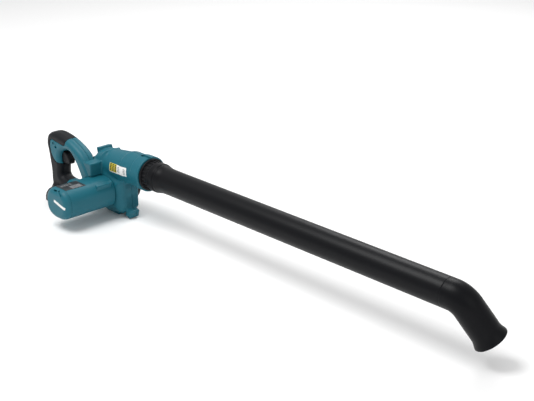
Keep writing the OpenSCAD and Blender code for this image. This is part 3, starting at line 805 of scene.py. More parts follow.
def bend_tree() -> Tree:
    """A tree that bends a straight tube, rolls it about its axis and sets it at its place.

    The tube lies along X with its axis on Y = Z = 0. Behind the bend's start it stays straight.

    Returns:
        The tree.
    """
    tree = Tree("bent_tube")
    start = tree.add_input("Bend Start", "NodeSocketFloat")
    radius = tree.add_input("Bend Radius", "NodeSocketFloat")
    angle = tree.add_input("Bend Angle", "NodeSocketFloat")
    roll = tree.add_input("Roll", "NodeSocketFloat")
    offset = tree.add_input("Offset", "NodeSocketVector")
    position = tree.node("GeometryNodeInputPosition").outputs["Position"]
    parts = tree.node("ShaderNodeSeparateXYZ", Vector=position)
    past = tree.math("SUBTRACT", parts.outputs["X"], start)
    turn = tree.math("MAXIMUM", tree.math("MINIMUM", tree.math("DIVIDE", past, radius), angle), 0.0)
    beyond = tree.math("MAXIMUM", tree.math("SUBTRACT", past, tree.math("MULTIPLY", angle, radius)), 0.0)
    before = tree.math("MINIMUM", past, 0.0)
    reach = tree.math("ADD", radius, parts.outputs["Z"])
    sine, cosine = tree.math("SINE", turn), tree.math("COSINE", turn)
    x = tree.math("ADD", tree.math("MULTIPLY", reach, sine), tree.math("MULTIPLY", beyond, cosine))
    x = tree.math("ADD", tree.math("ADD", x, start), before)
    z = tree.math("SUBTRACT", tree.math("MULTIPLY", reach, cosine), tree.math("MULTIPLY", beyond, sine))
    z = tree.math("SUBTRACT", z, radius)
    bent = tree.node("ShaderNodeCombineXYZ", X=x, Y=parts.outputs["Y"], Z=z)
    rolled = tree.tree.nodes.new("ShaderNodeVectorRotate")
    rolled.rotation_type = "X_AXIS"
    tree.feed(rolled.inputs["Vector"], bent.outputs["Vector"])
    tree.feed(rolled.inputs["Angle"], roll)
    at = tree.tree.nodes.new("ShaderNodeVectorMath")
    tree.feed(at.inputs[0], rolled.outputs["Vector"])
    tree.feed(at.inputs[1], offset)
    given = tree.start.outputs["Geometry"]
    moved = tree.node("GeometryNodeSetPosition", Geometry=given, Position=at.outputs[0])
    tree.finish(moved.outputs["Geometry"])
    return tree


@dataclass
class Workshop:
    """The shared node trees, and the step that fixes each piece to its body."""

    rings: Tree = field(default_factory=ring_tree)
    rows: Tree = field(default_factory=row_tree)
    bends: Tree = field(default_factory=bend_tree)

    def fit(
        self, piece: bpy.types.Object, body: str, slot: str, *replaced: str, finish: Finish | None = None
    ) -> bpy.types.Object:
        """Fixes a piece to its body and hides the CAD nodes it stands for.

        Args:
            piece: The finished piece.
            body: The body it rides on.
            slot: Not used.
            *replaced: CAD nodes it stands for.
            finish: A finish to give it, unless it has one.

        Returns:
            The same piece.
        """
        if finish is not None:
            piece.data.materials.clear()
            piece.data.materials.append(finish.make())
        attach(piece, body)
        if replaced:
            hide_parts(*replaced)
        LOG.info("%s: %d faces on %s", piece.name, len(piece.data.polygons), body)
        return piece

    def wrap(self, name: str, shape: Field, low: Point, high: Point, step: float) -> bpy.types.Object:
        """Makes an object from a distance field."""
        corners, faces = skin(shape, low, high, step)
        return mesh_object(name, corners, faces, 50.0)


# ---------------------------------------------------------------- casing


@dataclass
class FanCasing:
    """The fan casing's two halves with the outlet duct, the collar, the lugs and the block by the handle."""

    handle: Handle
    wall: float = 3.0
    right_side: float = -32.0
    left_side: float = 17.0
    shoulder: float = 17.0
    collar_front: float = 113.0
    collar_rear: float = 89.0
    intake_r: float = 27.0
    step: float = 1.25

    def duct(self, where: Grid) -> Array:
        """The duct's outside, a slow cone that runs into a straight stretch.

        Args:
            where: X, Y and Z of the points.

        Returns:
            The distance field.
        """
        cone = rod(where, (-36.0, 0.0, 97.3), (70.0, 0.0, 107.8), 28.6, 32.7, 9.0)
        straight = rod(where, (48.0, 0.0, DUCT_Z), (95.0, 0.0, DUCT_Z), 32.4, 32.8, 8.0)
        return join(cone, straight, 3.0)

    def outside(self, where: Grid) -> Array:
        """The whole outside of the casing.

        Args:
            where: X, Y and Z of the points.

        Returns:
            The distance field.
        """
        x, y, z = where
        up = z - FAN_Z
        flat = outline(x, up, fan_spiral())
        front = outline(x, up, [(0, 30), (43, 30), (47, 22), (47, -34), (40, -43), (0, -48)])
        flat = join(flat, front, 2.0)
        side = np.maximum(rounded(flat - 2.4, self.right_side - y, self.shoulder + 6.0), flat)
        drum = np.maximum(side, rounded(flat, y - self.left_side, 4.0))
        body = join(drum, self.duct(where), 5.0)
        collar = rod(where, (self.collar_rear, 0, DUCT_Z), (self.collar_front, 0, DUCT_Z), 35.0, 35.0, 1.6)
        body = join(body, collar, 3.5)
        top_lug = block(where, (-35.0, 0.0, 117.0), (7.2, 15.0, 13.5), 1.8, -14.0)
        low_lug = block(where, (50.0, -3.5, 10.5), (8.0, 11.5, 8.0), 2.2, 14.0)
        rear_lug = block(where, (-56.0, 0.0, 42.0), (7.0, 15.0, 7.0), 2.2)
        foot = block(where, (0.0, 0.0, 6.0), (20.0, 15.0, 6.0), 1.5)
        for lug in (top_lug, low_lug, rear_lug, foot):
            body = join(body, lug, 3.0)
        side_block = block(where, (-26.0, -30.0, 95.0), (19.0, 28.0, 17.0), 2.0)
        side_block = np.maximum(side_block, 0.25 - self.handle.outside(where))
        return join(body, side_block, 2.0)

    def bayonet(self, where: Grid) -> Array:
        """The groove for the coupling's lugs and its two ways out at the collar's face.

        Args:
            where: X, Y and Z of the points.

        Returns:
            The distance field.
        """
        x, y, z = where
        up = z - DUCT_Z
        groove = np.maximum(np.abs(x - 100.0) - 2.8, np.abs(np.hypot(y, up) - 30.0) - 2.0)
        along, across = np.abs(y + up) * 0.7071, np.abs(up - y) * 0.7071
        way_out = np.maximum(np.maximum(across - 2.8, np.abs(x - 107.0) - 9.8), np.abs(along - 30.0) - 2.0)
        return np.minimum(groove, way_out)

    def shell(self, where: Grid) -> Array:
        """The hollow casing before it is split.

        Args:
            where: X, Y and Z of the points.

        Returns:
            The distance field.
        """
        x, y, z = where
        d = self.outside(where)
        wall = np.maximum(d, -(d + self.wall))
        mouth = rod(where, (50.0, 0, DUCT_Z), (120.0, 0, DUCT_Z), 29.5, 29.5)
        lead_in = rod(where, (111.8, 0, DUCT_Z), (114.5, 0, DUCT_Z), 29.3, 32.0)
        intake = rod(where, (0, 8, FAN_Z), (0, 22, FAN_Z), self.intake_r, self.intake_r)
        boss_hole = rod(where, (0, -40, FAN_Z), (0, -24, FAN_Z), 13.2, 13.2)
        for gap in (mouth, lead_in, intake, boss_hole, self.bayonet(where)):
            wall = cut(wall, gap, 0.5)
        return np.maximum(wall, -np.maximum(housing_hole(x, z), y - HOUSING_Y))

    def right(self, where: Grid) -> Array:
        """The half on the motor's side, with slots near the duct's root.

        Args:
            where: X, Y and Z of the points.

        Returns:
            The distance field.
        """
        y = where[1]
        d = np.maximum(self.shell(where), y + SEAM)
        slot = block(where, (24.0, -32.0, 91.5), (6.5, 3.2, 1.5), 0.6, 12.0)
        return cut(d, slot, 0.6)

    def left(self, where: Grid) -> Array:
        """The half on the intake's side."""
        y = where[1]
        return np.maximum(self.shell(where), SEAM - y)

    def build(self, shop: Workshop) -> None:
        """Builds both halves and the ribs on the rim.

        Args:
            shop: The shared workshop.
        """
        right = shop.wrap("casing_right", self.right, (-78, -62, -1), (116, 1, 142), self.step)
        shop.fit(right, "casing", "teal_case", "scroll_right", finish=TEAL)
        left = shop.wrap("casing_left", self.left, (-78, -1, -1), (116, 37, 144), self.step)
        shop.fit(left, "casing", "teal_case", "scroll_left", finish=TEAL)
        rib = mesh_object("rim_rib", *unit_block((0.35, 0.28, 25.0), (47.05, -13.4, 47.0), 0.12))
        ribs = shop.rows.apply(
            "casing_rim_ribs", rib, TEAL, Count=18, Step=(0, 1.55 * MM, 0), Rows=1, Row_Step=(0, 0, 0)
        )
        shop.fit(ribs, "casing", "teal_case")


# ---------------------------------------------------------------- motor housing


@dataclass
class MotorHousing:
    """The housing round the motor, its domed end cap, the stripe on it and the rating plate."""

    half_x: float = 36.0
    half_z: float = 31.5
    power: float = 2.5
    facet: float = 29.8
    wall: float = 3.2
    cap_end: float = -149.0
    dome: float = 12.0

    def section(self, x: Array, z: Array) -> Array:
        """The housing's cross-section, with a flat along its top."""
        ring = outline(x, z - FAN_Z, squircle(self.half_x, self.half_z, self.power))
        return meet(ring, z - FAN_Z - self.facet, 1.2)

    def outside(self, where: Grid) -> Array:
        """The housing's outside with the raised bar and rib on its shoulder.

        Args:
            where: X, Y and Z of the points.

        Returns:
            The distance field.
        """
        x, y, z = where
        d = slab(self.section(x, z), y, CAP_Y, HOUSING_Y - 0.2, 0.7)
        bar = block(where, (29.6, -58.0, 76.5), (4.4, 16.0, 6.0), 1.4, 24.0)
        rib = block(where, (30.6, -41.0, 76.0), (3.6, 1.5, 9.5), 0.7, 24.0)
        return join(join(d, bar, 1.6), rib, 1.2)

    def housing(self, where: Grid) -> Array:
        """The housing as a tube open at both ends."""
        x, _, z = where
        return np.maximum(self.outside(where), -(self.section(x, z) + self.wall))

    def cap_outside(self, where: Grid) -> Array:
        """The end cap's outside, domed towards its end.

        Args:
            where: X, Y and Z of the points.

        Returns:
            The distance field.
        """
        x, y, z = where
        d = rounded(self.section(x, z), self.cap_end - y, self.dome)
        return rounded(d, y - CAP_Y + 0.25, 0.6)

    def cap(self, where: Grid) -> Array:
        """The hollow end cap with its two vent slots.

        Args:
            where: X, Y and Z of the points.

        Returns:
            The distance field.
        """
        x, y, z = where
        d = self.cap_outside(where)
        inner = rounded(self.section(x, z) + self.wall, self.cap_end + self.wall - y, self.dome)
        d = np.maximum(d, -inner)
        d = cut(d, block(where, (-4.0, -145.0, 80.0), (5.0, 7.0, 1.5), 0.8), 0.8)
        return cut(d, block(where, (11.5, -145.0, 78.4), (7.8, 7.0, 1.6), 0.8, 24.0), 0.8)

    def stripe(self, where: Grid) -> Array:
        """A plain bar that follows the cap's face.

        Args:
            where: X, Y and Z of the points.

        Returns:
            The distance field.
        """
        d = self.cap_outside(where)
        film = np.maximum(d - 0.45, -(d + 0.8))
        return rounded(film, block(where, (12.5, -149.0, 56.6), (18.0, 6.0, 2.7), 1.0, 14.0), 0.1)

    def plate(self, where: Grid) -> Array:
        """The rating plate's film on the flat top.

        Args:
            where: X, Y and Z of the points.

        Returns:
            The distance field.
        """
        x, y, z = where
        film = np.maximum(np.abs(self.section(x, z)) - 0.42, 80.0 - z)
        area = slab(outline(x, y, [(-19, -135), (17, -135), (19, -89), (-14, -89)]), z, 80, 90, 0.1)
        return rounded(film, area, 0.15)

    def build(self, shop: Workshop) -> None:
        """Builds the housing, the cap and what is printed on them.

        Args:
            shop: The shared workshop.
        """
        housing = shop.wrap("motor_housing_shell", self.housing, (-38, -137, 21), (38, -31, 88), 1.2)
        shop.fit(housing, "casing", "teal_case", "motor_housing", finish=TEAL)
        cap = shop.wrap("end_cap", self.cap, (-38, -151, 21), (38, -135, 88), 0.9)
        shop.fit(cap, "casing", "teal_case", "motor_end_cap", finish=TEAL)
        stripe = shop.wrap("cap_bar", self.stripe, (-10, -152, 45), (34, -140, 68), 0.5)
        shop.fit(stripe, "casing", "white_film", "cap_stripe", finish=WHITE)
        plate = shop.wrap("plate_on_top", self.plate, (-21, -137, 80.5), (21, -87, 85.0), 0.45)
        shop.fit(plate, "casing", "plate_black", "rating_plate", finish=PLATE)
        for name, count, rows, half, at, step, row_step in (
            ("plate_marks_long", 1, 6, (0.5, 12.0, 0.1), (4.0, -107.0, 84.2), (0, 0, 0), (2.6, 0, 0)),
            ("plate_marks_short", 4, 3, (0.45, 2.4, 0.1), (-10.0, -128.0, 84.2), (0, 6.4, 0), (3.2, 0, 0)),
        ):
            marks = shop.rows.apply(
                name,
                mesh_object(name + "_unit", *unit_block(half, at, 0.05)),
                PALE,
                Count=count,
                Step=tuple(v * MM for v in step),
                Rows=rows,
                Row_Step=tuple(v * MM for v in row_step),
            )
            shop.fit(marks, "casing", "white_film")


# ---------------------------------------------------------------- handle


@dataclass
class Handle:
    """The looped handle in two shells, its soft grip, the trigger and its spring."""

    edge: float = 11.5
    skin_mm: float = 2.0
    step: float = 1.2
    outer: tuple[Spot, ...] = (
        (-148, -26), (-152, 14), (-157, 46), (-161, 68), (-156, 85), (-143, 93), (-124, 95.5), (-100, 92.5),
        (-76, 86.5), (-51, 75.5), (-32, 61), (-20, 44), (-11, 25), (-16, 4), (-40, -14), (-70, -26),
        (-110, -30),
    )
    inner: tuple[Spot, ...] = (
        (-116, 4), (-115, 26), (-116, 46), (-109, 58), (-97, 64), (-84, 65.5), (-73, 61), (-62, 49),
        (-51, 32), (-44, 18), (-50, 9), (-66, 5), (-90, 0),
    )
    zone: tuple[Spot, ...] = (
        (-200, -80), (-200, 110), (-82, 110), (-92, 77), (-97, 74.5), (-138, 79.5), (-143, 76), (-146, 64),
        (-142, 48), (-135, 38), (-126, 33), (-114, 30), (-96, 29), (-96, -4), (-92, -80),
    )

    def __post_init__(self) -> None:
        """Draws the smooth outlines once."""
        self.outer_loop = smooth_loop(self.outer)
        self.inner_loop = smooth_loop(self.inner)

    def outside(self, where: Grid) -> Array:
        """The handle's outside as one solid loop.

        Args:
            where: X, Y and Z of the points.

        Returns:
            The distance field.
        """
        x, y, z = where
        up = z - FAN_Z
        ring = meet(outline(x, up, self.outer_loop), -outline(x, up, self.inner_loop), 3.0)
        return slab(ring, y, HANDLE_Y - HANDLE_HALF, HANDLE_Y + HANDLE_HALF, self.edge)

    def elastomer_zone(self, x: Array, z: Array) -> Array:
        """Where the soft grip covers the handle, seen from the side."""
        return outline(x, z - FAN_Z, self.zone)

    def clear_of_neighbours(self, d: Array, where: Grid) -> Array:
        """Cuts away the housing, the casing, the base and the trigger's window.

        Args:
            d: The field to cut.
            where: X, Y and Z of the points.

        Returns:
            The distance field.
        """
        x, y, z = where
        d = np.maximum(d, -np.maximum(housing_hole(x, z), y - HOUSING_Y))
        d = np.maximum(d, -np.maximum(outline(x, z - FAN_Z, fan_spiral()) - 0.4, -32.2 - y))
        d = np.maximum(d, 33.2 - z)
        window = block(where, (-112.0, HANDLE_Y, 100.0), (24.0, 7.9, 14.4), 1.0)
        return cut(d, window, 0.6)

    def strap_eye(self, where: Grid) -> Array:
        """Two small pockets with a bridge between them.

        Args:
            where: X, Y and Z of the points.

        Returns:
            The distance field.
        """
        holes = [
            rod(where, (cx, -62.0, cz), (cx, -54.0, cz), 2.7, 2.7)
            for cx, cz in ((-133.2, 126.0), (-124.8, 119.6))
        ]
        return np.minimum(*holes)

    def shells(self, where: Grid) -> Array:
        """The teal handle before it is split, thinner where the grip covers it.

        Args:
            where: X, Y and Z of the points.

        Returns:
            The distance field.
        """
        x, y, z = where
        d = self.outside(where)
        bare = meet(d, -(self.elastomer_zone(x, z) - 0.3), 0.9)
        full = np.maximum(join(bare, d + self.skin_mm + 0.1, 0.4), -(d + 5.5))
        eye = block(where, (-129.0, -59.0, 123.0), (9.0, 6.0, 4.2), 4.0, 37.0)
        full = join(full, rounded(np.maximum(d - 0.5, -(d + 2.0)), eye, 0.4), 0.5)
        groove = np.maximum(np.abs(y - HANDLE_Y) - 0.45, -(d + 0.7))
        full = cut(full, groove, 0.4)
        return cut(self.clear_of_neighbours(full, where), self.strap_eye(where), 0.7)

    def right(self, where: Grid) -> Array:
        """The shell away from the fan."""
        y = where[1]
        return np.maximum(self.shells(where), y - HANDLE_Y + SEAM)

    def left(self, where: Grid) -> Array:
        """The shell next to the fan."""
        y = where[1]
        return np.maximum(self.shells(where), HANDLE_Y + SEAM - y)

    def grip(self, where: Grid) -> Array:
        """The soft grip, a skin that lies flush with the shells.

        Args:
            where: X, Y and Z of the points.

        Returns:
            The distance field.
        """
        x, _, z = where
        d = self.outside(where) - 0.02
        zone = self.elastomer_zone(x, z) + 0.25
        film = np.maximum(meet(d, zone, 1.6), -(d + self.skin_mm))
        film = np.maximum(film, 33.2 - z)
        window = block(where, (-112.0, HANDLE_Y, 100.0), (26.0, 8.1, 14.6), 1.0)
        return cut(film, window, 0.8)

    def trigger(self, where: Grid) -> Array:
        """The trigger with a rounded finger face.

        Args:
            where: X, Y and Z of the points.

        Returns:
            The distance field.
        """
        x, y, z = where
        profile = smooth_loop(
            [(-129, 34), (-129, 46), (-128.5, 58.5), (-113, 58.8), (-102, 54.5), (-93, 45), (-91.5, 38.5),
             (-94, 33.5), (-104, 32.2), (-116, 32.2)], 4
        )
        flat = outline(x, z - FAN_Z, profile)
        return slab(flat, y, HANDLE_Y - 7.5, HANDLE_Y + 7.5, 3.2)

    def spring(self) -> tuple[Array, Array]:
        """A coil spring behind the trigger, as a closed tube.

        Returns:
            The corners and the faces.
        """
        turns, ring, steps = 5.5, 10, 150
        start, end, coil, wire = -137.9, -124.3, 2.8, 0.55
        t = np.linspace(0.0, 1.0, steps)
        turn = 2 * math.pi * turns * t
        along = start + wire + (end - start - 2 * wire) * t
        centre = np.stack([along, coil * np.cos(turn), coil * np.sin(turn)], 1)
        ahead = np.gradient(centre, axis=0)
        ahead /= np.linalg.norm(ahead, axis=1)[:, None]
        out = np.stack([0 * t, np.cos(turn), np.sin(turn)], 1)
        out -= (out * ahead).sum(1)[:, None] * ahead
        out /= np.linalg.norm(out, axis=1)[:, None]
        side = np.cross(ahead, out)
        corners = [
            centre + wire * (math.cos(a) * out + math.sin(a) * side)
            for a in np.linspace(0, 2 * math.pi, ring, endpoint=False)
        ]
        body = np.stack(corners, 1).reshape(-1, 3) + np.array([0.0, HANDLE_Y, FAN_Z + 46.0])
        faces = [
            [i * ring + j, i * ring + (j + 1) % ring, (i + 1) * ring + (j + 1) % ring, (i + 1) * ring + j]
            for i in range(steps - 1)
            for j in range(ring)
        ]
        faces += [list(range(ring))[::-1], list(range((steps - 1) * ring, steps * ring))]
        return body, faces

    def build(self, shop: Workshop) -> None:
        """Builds the shells, the grip, the trigger and its spring.

        Args:
            shop: The shared workshop.
        """
        low, high = (-165, -62, 20), (-8, -24, 152)
        right = shop.wrap("handle_right", self.right, low, (-8, -42, 152), self.step)
        shop.fit(right, "casing", "teal_case", "handle_shell_right", finish=TEAL)
        left = shop.wrap("handle_left", self.left, (-165, -44, 20), high, self.step)
        shop.fit(left, "casing", "teal_case", "handle_shell_left", finish=TEAL)
        grip = shop.wrap("grip_skin", self.grip, low, (-74, -24, 152), 1.1)
        shop.fit(grip, "casing", "soft_black", "soft_grip", finish=ELASTOMER)
        trigger = shop.wrap("trigger_lever_piece", self.trigger, (-131, -52, 84), (-90, -34, 115), 0.8)
        shop.fit(trigger, "trigger_lever", "black_case", "trigger", finish=BLACK)
        spring = mesh_object("return_spring", *self.spring())
        shop.fit(spring, "casing", "steel", "trigger_spring", finish=SPRING)
        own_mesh(spring)


# ---------------------------------------------------------------- battery base


@dataclass
class BatteryBase:
    """The black base under the grip with its slanted heel and the battery's channel."""

    rear: float = -164.0
    front: float = -90.0
    half_w: float = 34.0
    top: float = 33.0
    heel_lean: float = 42.0

    def solid(self, where: Grid) -> Array:
        """The base with its flare up to the grip.

        Args:
            where: X, Y and Z of the points.

        Returns:
            The distance field.
        """
        x, y, z = where
        middle = (self.rear + self.front) / 2
        plan = outline(x - middle, y - HANDLE_Y, squircle((self.front - self.rear) / 2, self.half_w, 4.0, 64))
        body = rounded(plan, np.abs(z - self.top / 2) - self.top / 2, 5.0)
        flat_foot = rounded(plan, np.abs(z - 8.0) - 8.0, 0.8)
        body = np.minimum(body, flat_foot)
        lean = math.radians(self.heel_lean)
        heel = z * math.sin(lean) - (x - self.rear + 1.0) * math.cos(lean)
        body = meet(body, heel, 3.0)
        share = (1.0 - np.clip((z - 20.0) / 28.0, 0.0, 1.0)) ** 2
        u = np.abs(x + 131.0) - 6.0 - 1.5 * share
        v = np.abs(y - HANDLE_Y) - 4.5 - 15.0 * share
        flare = 0.7 * (np.hypot(np.maximum(u, 0.0), np.maximum(v, 0.0)) - 12.0)
        flare = rounded(flare, np.abs(z - 32.0) - 14.0, 0.5)
        return np.maximum(join(body, flare, 5.0), -z)

    def shape(self, where: Grid) -> Array:
        """The base with the battery's channel and the narrower neck below it.

        Args:
            where: X, Y and Z of the points.

        Returns:
            The distance field.
        """
        d = self.solid(where)
        channel = block(where, (-143.0, HANDLE_Y, 9.0), (39.0, 27.0, 5.0), 0.6)
        neck = block(where, (-143.0, HANDLE_Y, 2.0), (39.0, 23.0, 5.0), 0.6)
        for gap in (channel, neck):
            d = cut(d, gap, 0.5)
        return d

    def build(self, shop: Workshop) -> None:
        """Builds the base."""
        base = shop.wrap("base_moulding", self.shape, (-166, -79, -1), (-88, -7, 48), 1.1)
        shop.fit(base, "casing", "black_case", "battery_base", finish=BLACK)


# ---------------------------------------------------------------- fan side


@dataclass
class IntakeSide:
    """The intake guard with its rings, spokes and screws, and the impeller behind it."""

    casing: FanCasing
    guard_y: float = 17.0
    depth: float = 16.0
    seat: float = 5.6
    blades: int = 9
    blade_sweep: float = 52.0
    blade_set: float = 60.0
    blade_root: float = 10.0
    blade_reach: float = 25.6

    def turned(self, name: str, profile: Sequence[Point]) -> bpy.types.Object:
        """Spins a profile of (Y, radius, corner radius) about the fan axis.

        Args:
            name: Name of the piece.
            profile: Corners of the section.

        Returns:
            The object.
        """
        corners, faces = lathe(fillet(profile, 3))
        placed = np.stack([-corners[:, 1], corners[:, 0], corners[:, 2] + FAN_Z], axis=1)
        return mesh_object(name, placed, faces, 35)

    def guard(self, where: Grid) -> Array:
        """The guard: a base ring, a deep outer ring, three hoops and three bars, notched round the duct.

        Args:
            where: X, Y and Z of the points.

        Returns:
            The distance field.
        """
        x, y, z = where
        up, low = z - FAN_Z, self.guard_y
        r = np.hypot(x, up)
        base = self.depth - self.seat
        d = rounded(np.abs(r - 30.5) - 3.5, np.abs(y - low - base / 2) - base / 2, 0.6)
        deep = rounded(np.abs(r - 32.5) - 1.5, np.abs(y - low - self.depth / 2) - self.depth / 2, 0.7)
        d = np.minimum(d, deep)
        for middle in (6.5, 13.0, 19.5):
            hoop = rounded(np.abs(r - middle) - 1.0, np.abs(y - low - 1.6) - 1.0, 0.5)
            d = np.minimum(d, hoop)
        reach = np.maximum(np.abs(r - 16.0) - 12.0, np.abs(y - low - 1.5) - 1.2)
        for turn in (30, 90, 150):
            c, sn = math.cos(math.radians(turn)), math.sin(math.radians(turn))
            d = join(d, rounded(np.abs(x * sn - up * c) - 1.0, reach, 0.5), 0.6)
        for turn in (90, 210, 330):
            c, sn = math.cos(math.radians(turn)), -math.sin(math.radians(turn))
            well = np.hypot(x - 30 * c, up - 30 * sn) - 2.9
            d = cut(d, np.maximum(well, low + 3.0 - y), 0.3)
        return cut(d, self.casing.duct(where) - 0.5, 0.3)

    def build(self, shop: Workshop) -> None:
        """Builds the guard, its screws and the impeller.

        Args:
            shop: The shared workshop.
        """
        y = self.guard_y
        guard = shop.wrap("guard_moulding", self.guard, (-36, 16, 18), (36, 34, 90), 0.8)
        shop.fit(guard, "casing", "black_case", "intake_guard", finish=BLACK)
        section = [(0.0, 0.9, 0), (1.0, 0.9, 0.1), (1.5, 1.0, 0.1), (1.5, 2.6, 0.5), (0.0, 2.6, 0.1)]
        head, head_faces = lathe(fillet(section[::-1], 3), 24)
        head = np.stack([-head[:, 1] + 30.0, head[:, 0] + y + 3.05, head[:, 2]], axis=1)
        screws = shop.rings.apply(
            "guard_screw_heads",
            mesh_object("screw_unit", head, head_faces),
            STEEL,
            Count=3,
            Start=math.radians(90),
            Axis=(0, 1, 0),
            Centre=(0, 0, FAN_Z * MM),
        )
        shop.fit(screws, "casing", "steel")
        disc = self.turned(
            "impeller_disc",
            [(-22.2, 4.1, 0.2), (-22.2, 36.0, 0.4), (-20.2, 36.0, 0.4), (-19.0, 14.0, 4.0), (-6.0, 10.5, 2.0),
             (-0.2, 10.0, 1.5), (-0.2, 4.1, 0.2)][::-1],
        )
        shop.fit(disc, "rotor", "fan_black", "impeller", finish=FAN)
        shroud = self.turned(
            "impeller_shroud",
            [(3.8, 36.0, 0.4), (5.8, 36.0, 0.6), (5.8, 24.0, 0.8), (4.2, 24.0, 0.4)],
        )
        shop.fit(shroud, "rotor", "fan_black", finish=FAN)
        blades = shop.rings.apply(
            "impeller_blades",
            mesh_object("blade_unit", *self.blade()),
            FAN,
            Count=self.blades,
            Start=0.0,
            Axis=(0, 1, 0),
            Centre=(0, 0, FAN_Z * MM),
        )
        shop.fit(blades, "rotor", "fan_black")

    def blade(self) -> tuple[Array, Array]:
        """One backward-curved blade, thin at its tip.

        Returns:
            The corners and the faces.
        """
        steps, corners = 14, []
        for k in range(steps):
            t = k / (steps - 1)
            r = self.blade_root + self.blade_reach * t
            a = math.radians(-self.blade_sweep * t**1.2)
            thick = 0.9 - 0.35 * t
            low, high = -20.6, -1.0 + 5.0 * min(1.0, t * 1.6)
            normal = a + math.radians(self.blade_set)
            for side, level in ((-1, low), (1, low), (1, high), (-1, high)):
                dx, dz = thick * math.cos(normal) * side, thick * math.sin(normal) * side
                corners.append((r * math.cos(a) + dx, level, r * math.sin(a) + dz))
        faces = [
            [4 * k + j, 4 * k + (j + 1) % 4, 4 * (k + 1) + (j + 1) % 4, 4 * (k + 1) + j]
            for k in range(steps - 1)
            for j in range(4)
        ]
        faces += [[3, 2, 1, 0], [4 * steps - 4, 4 * steps - 3, 4 * steps - 2, 4 * steps - 1]]
        return np.array(corners), faces


# ---------------------------------------------------------------- nozzle


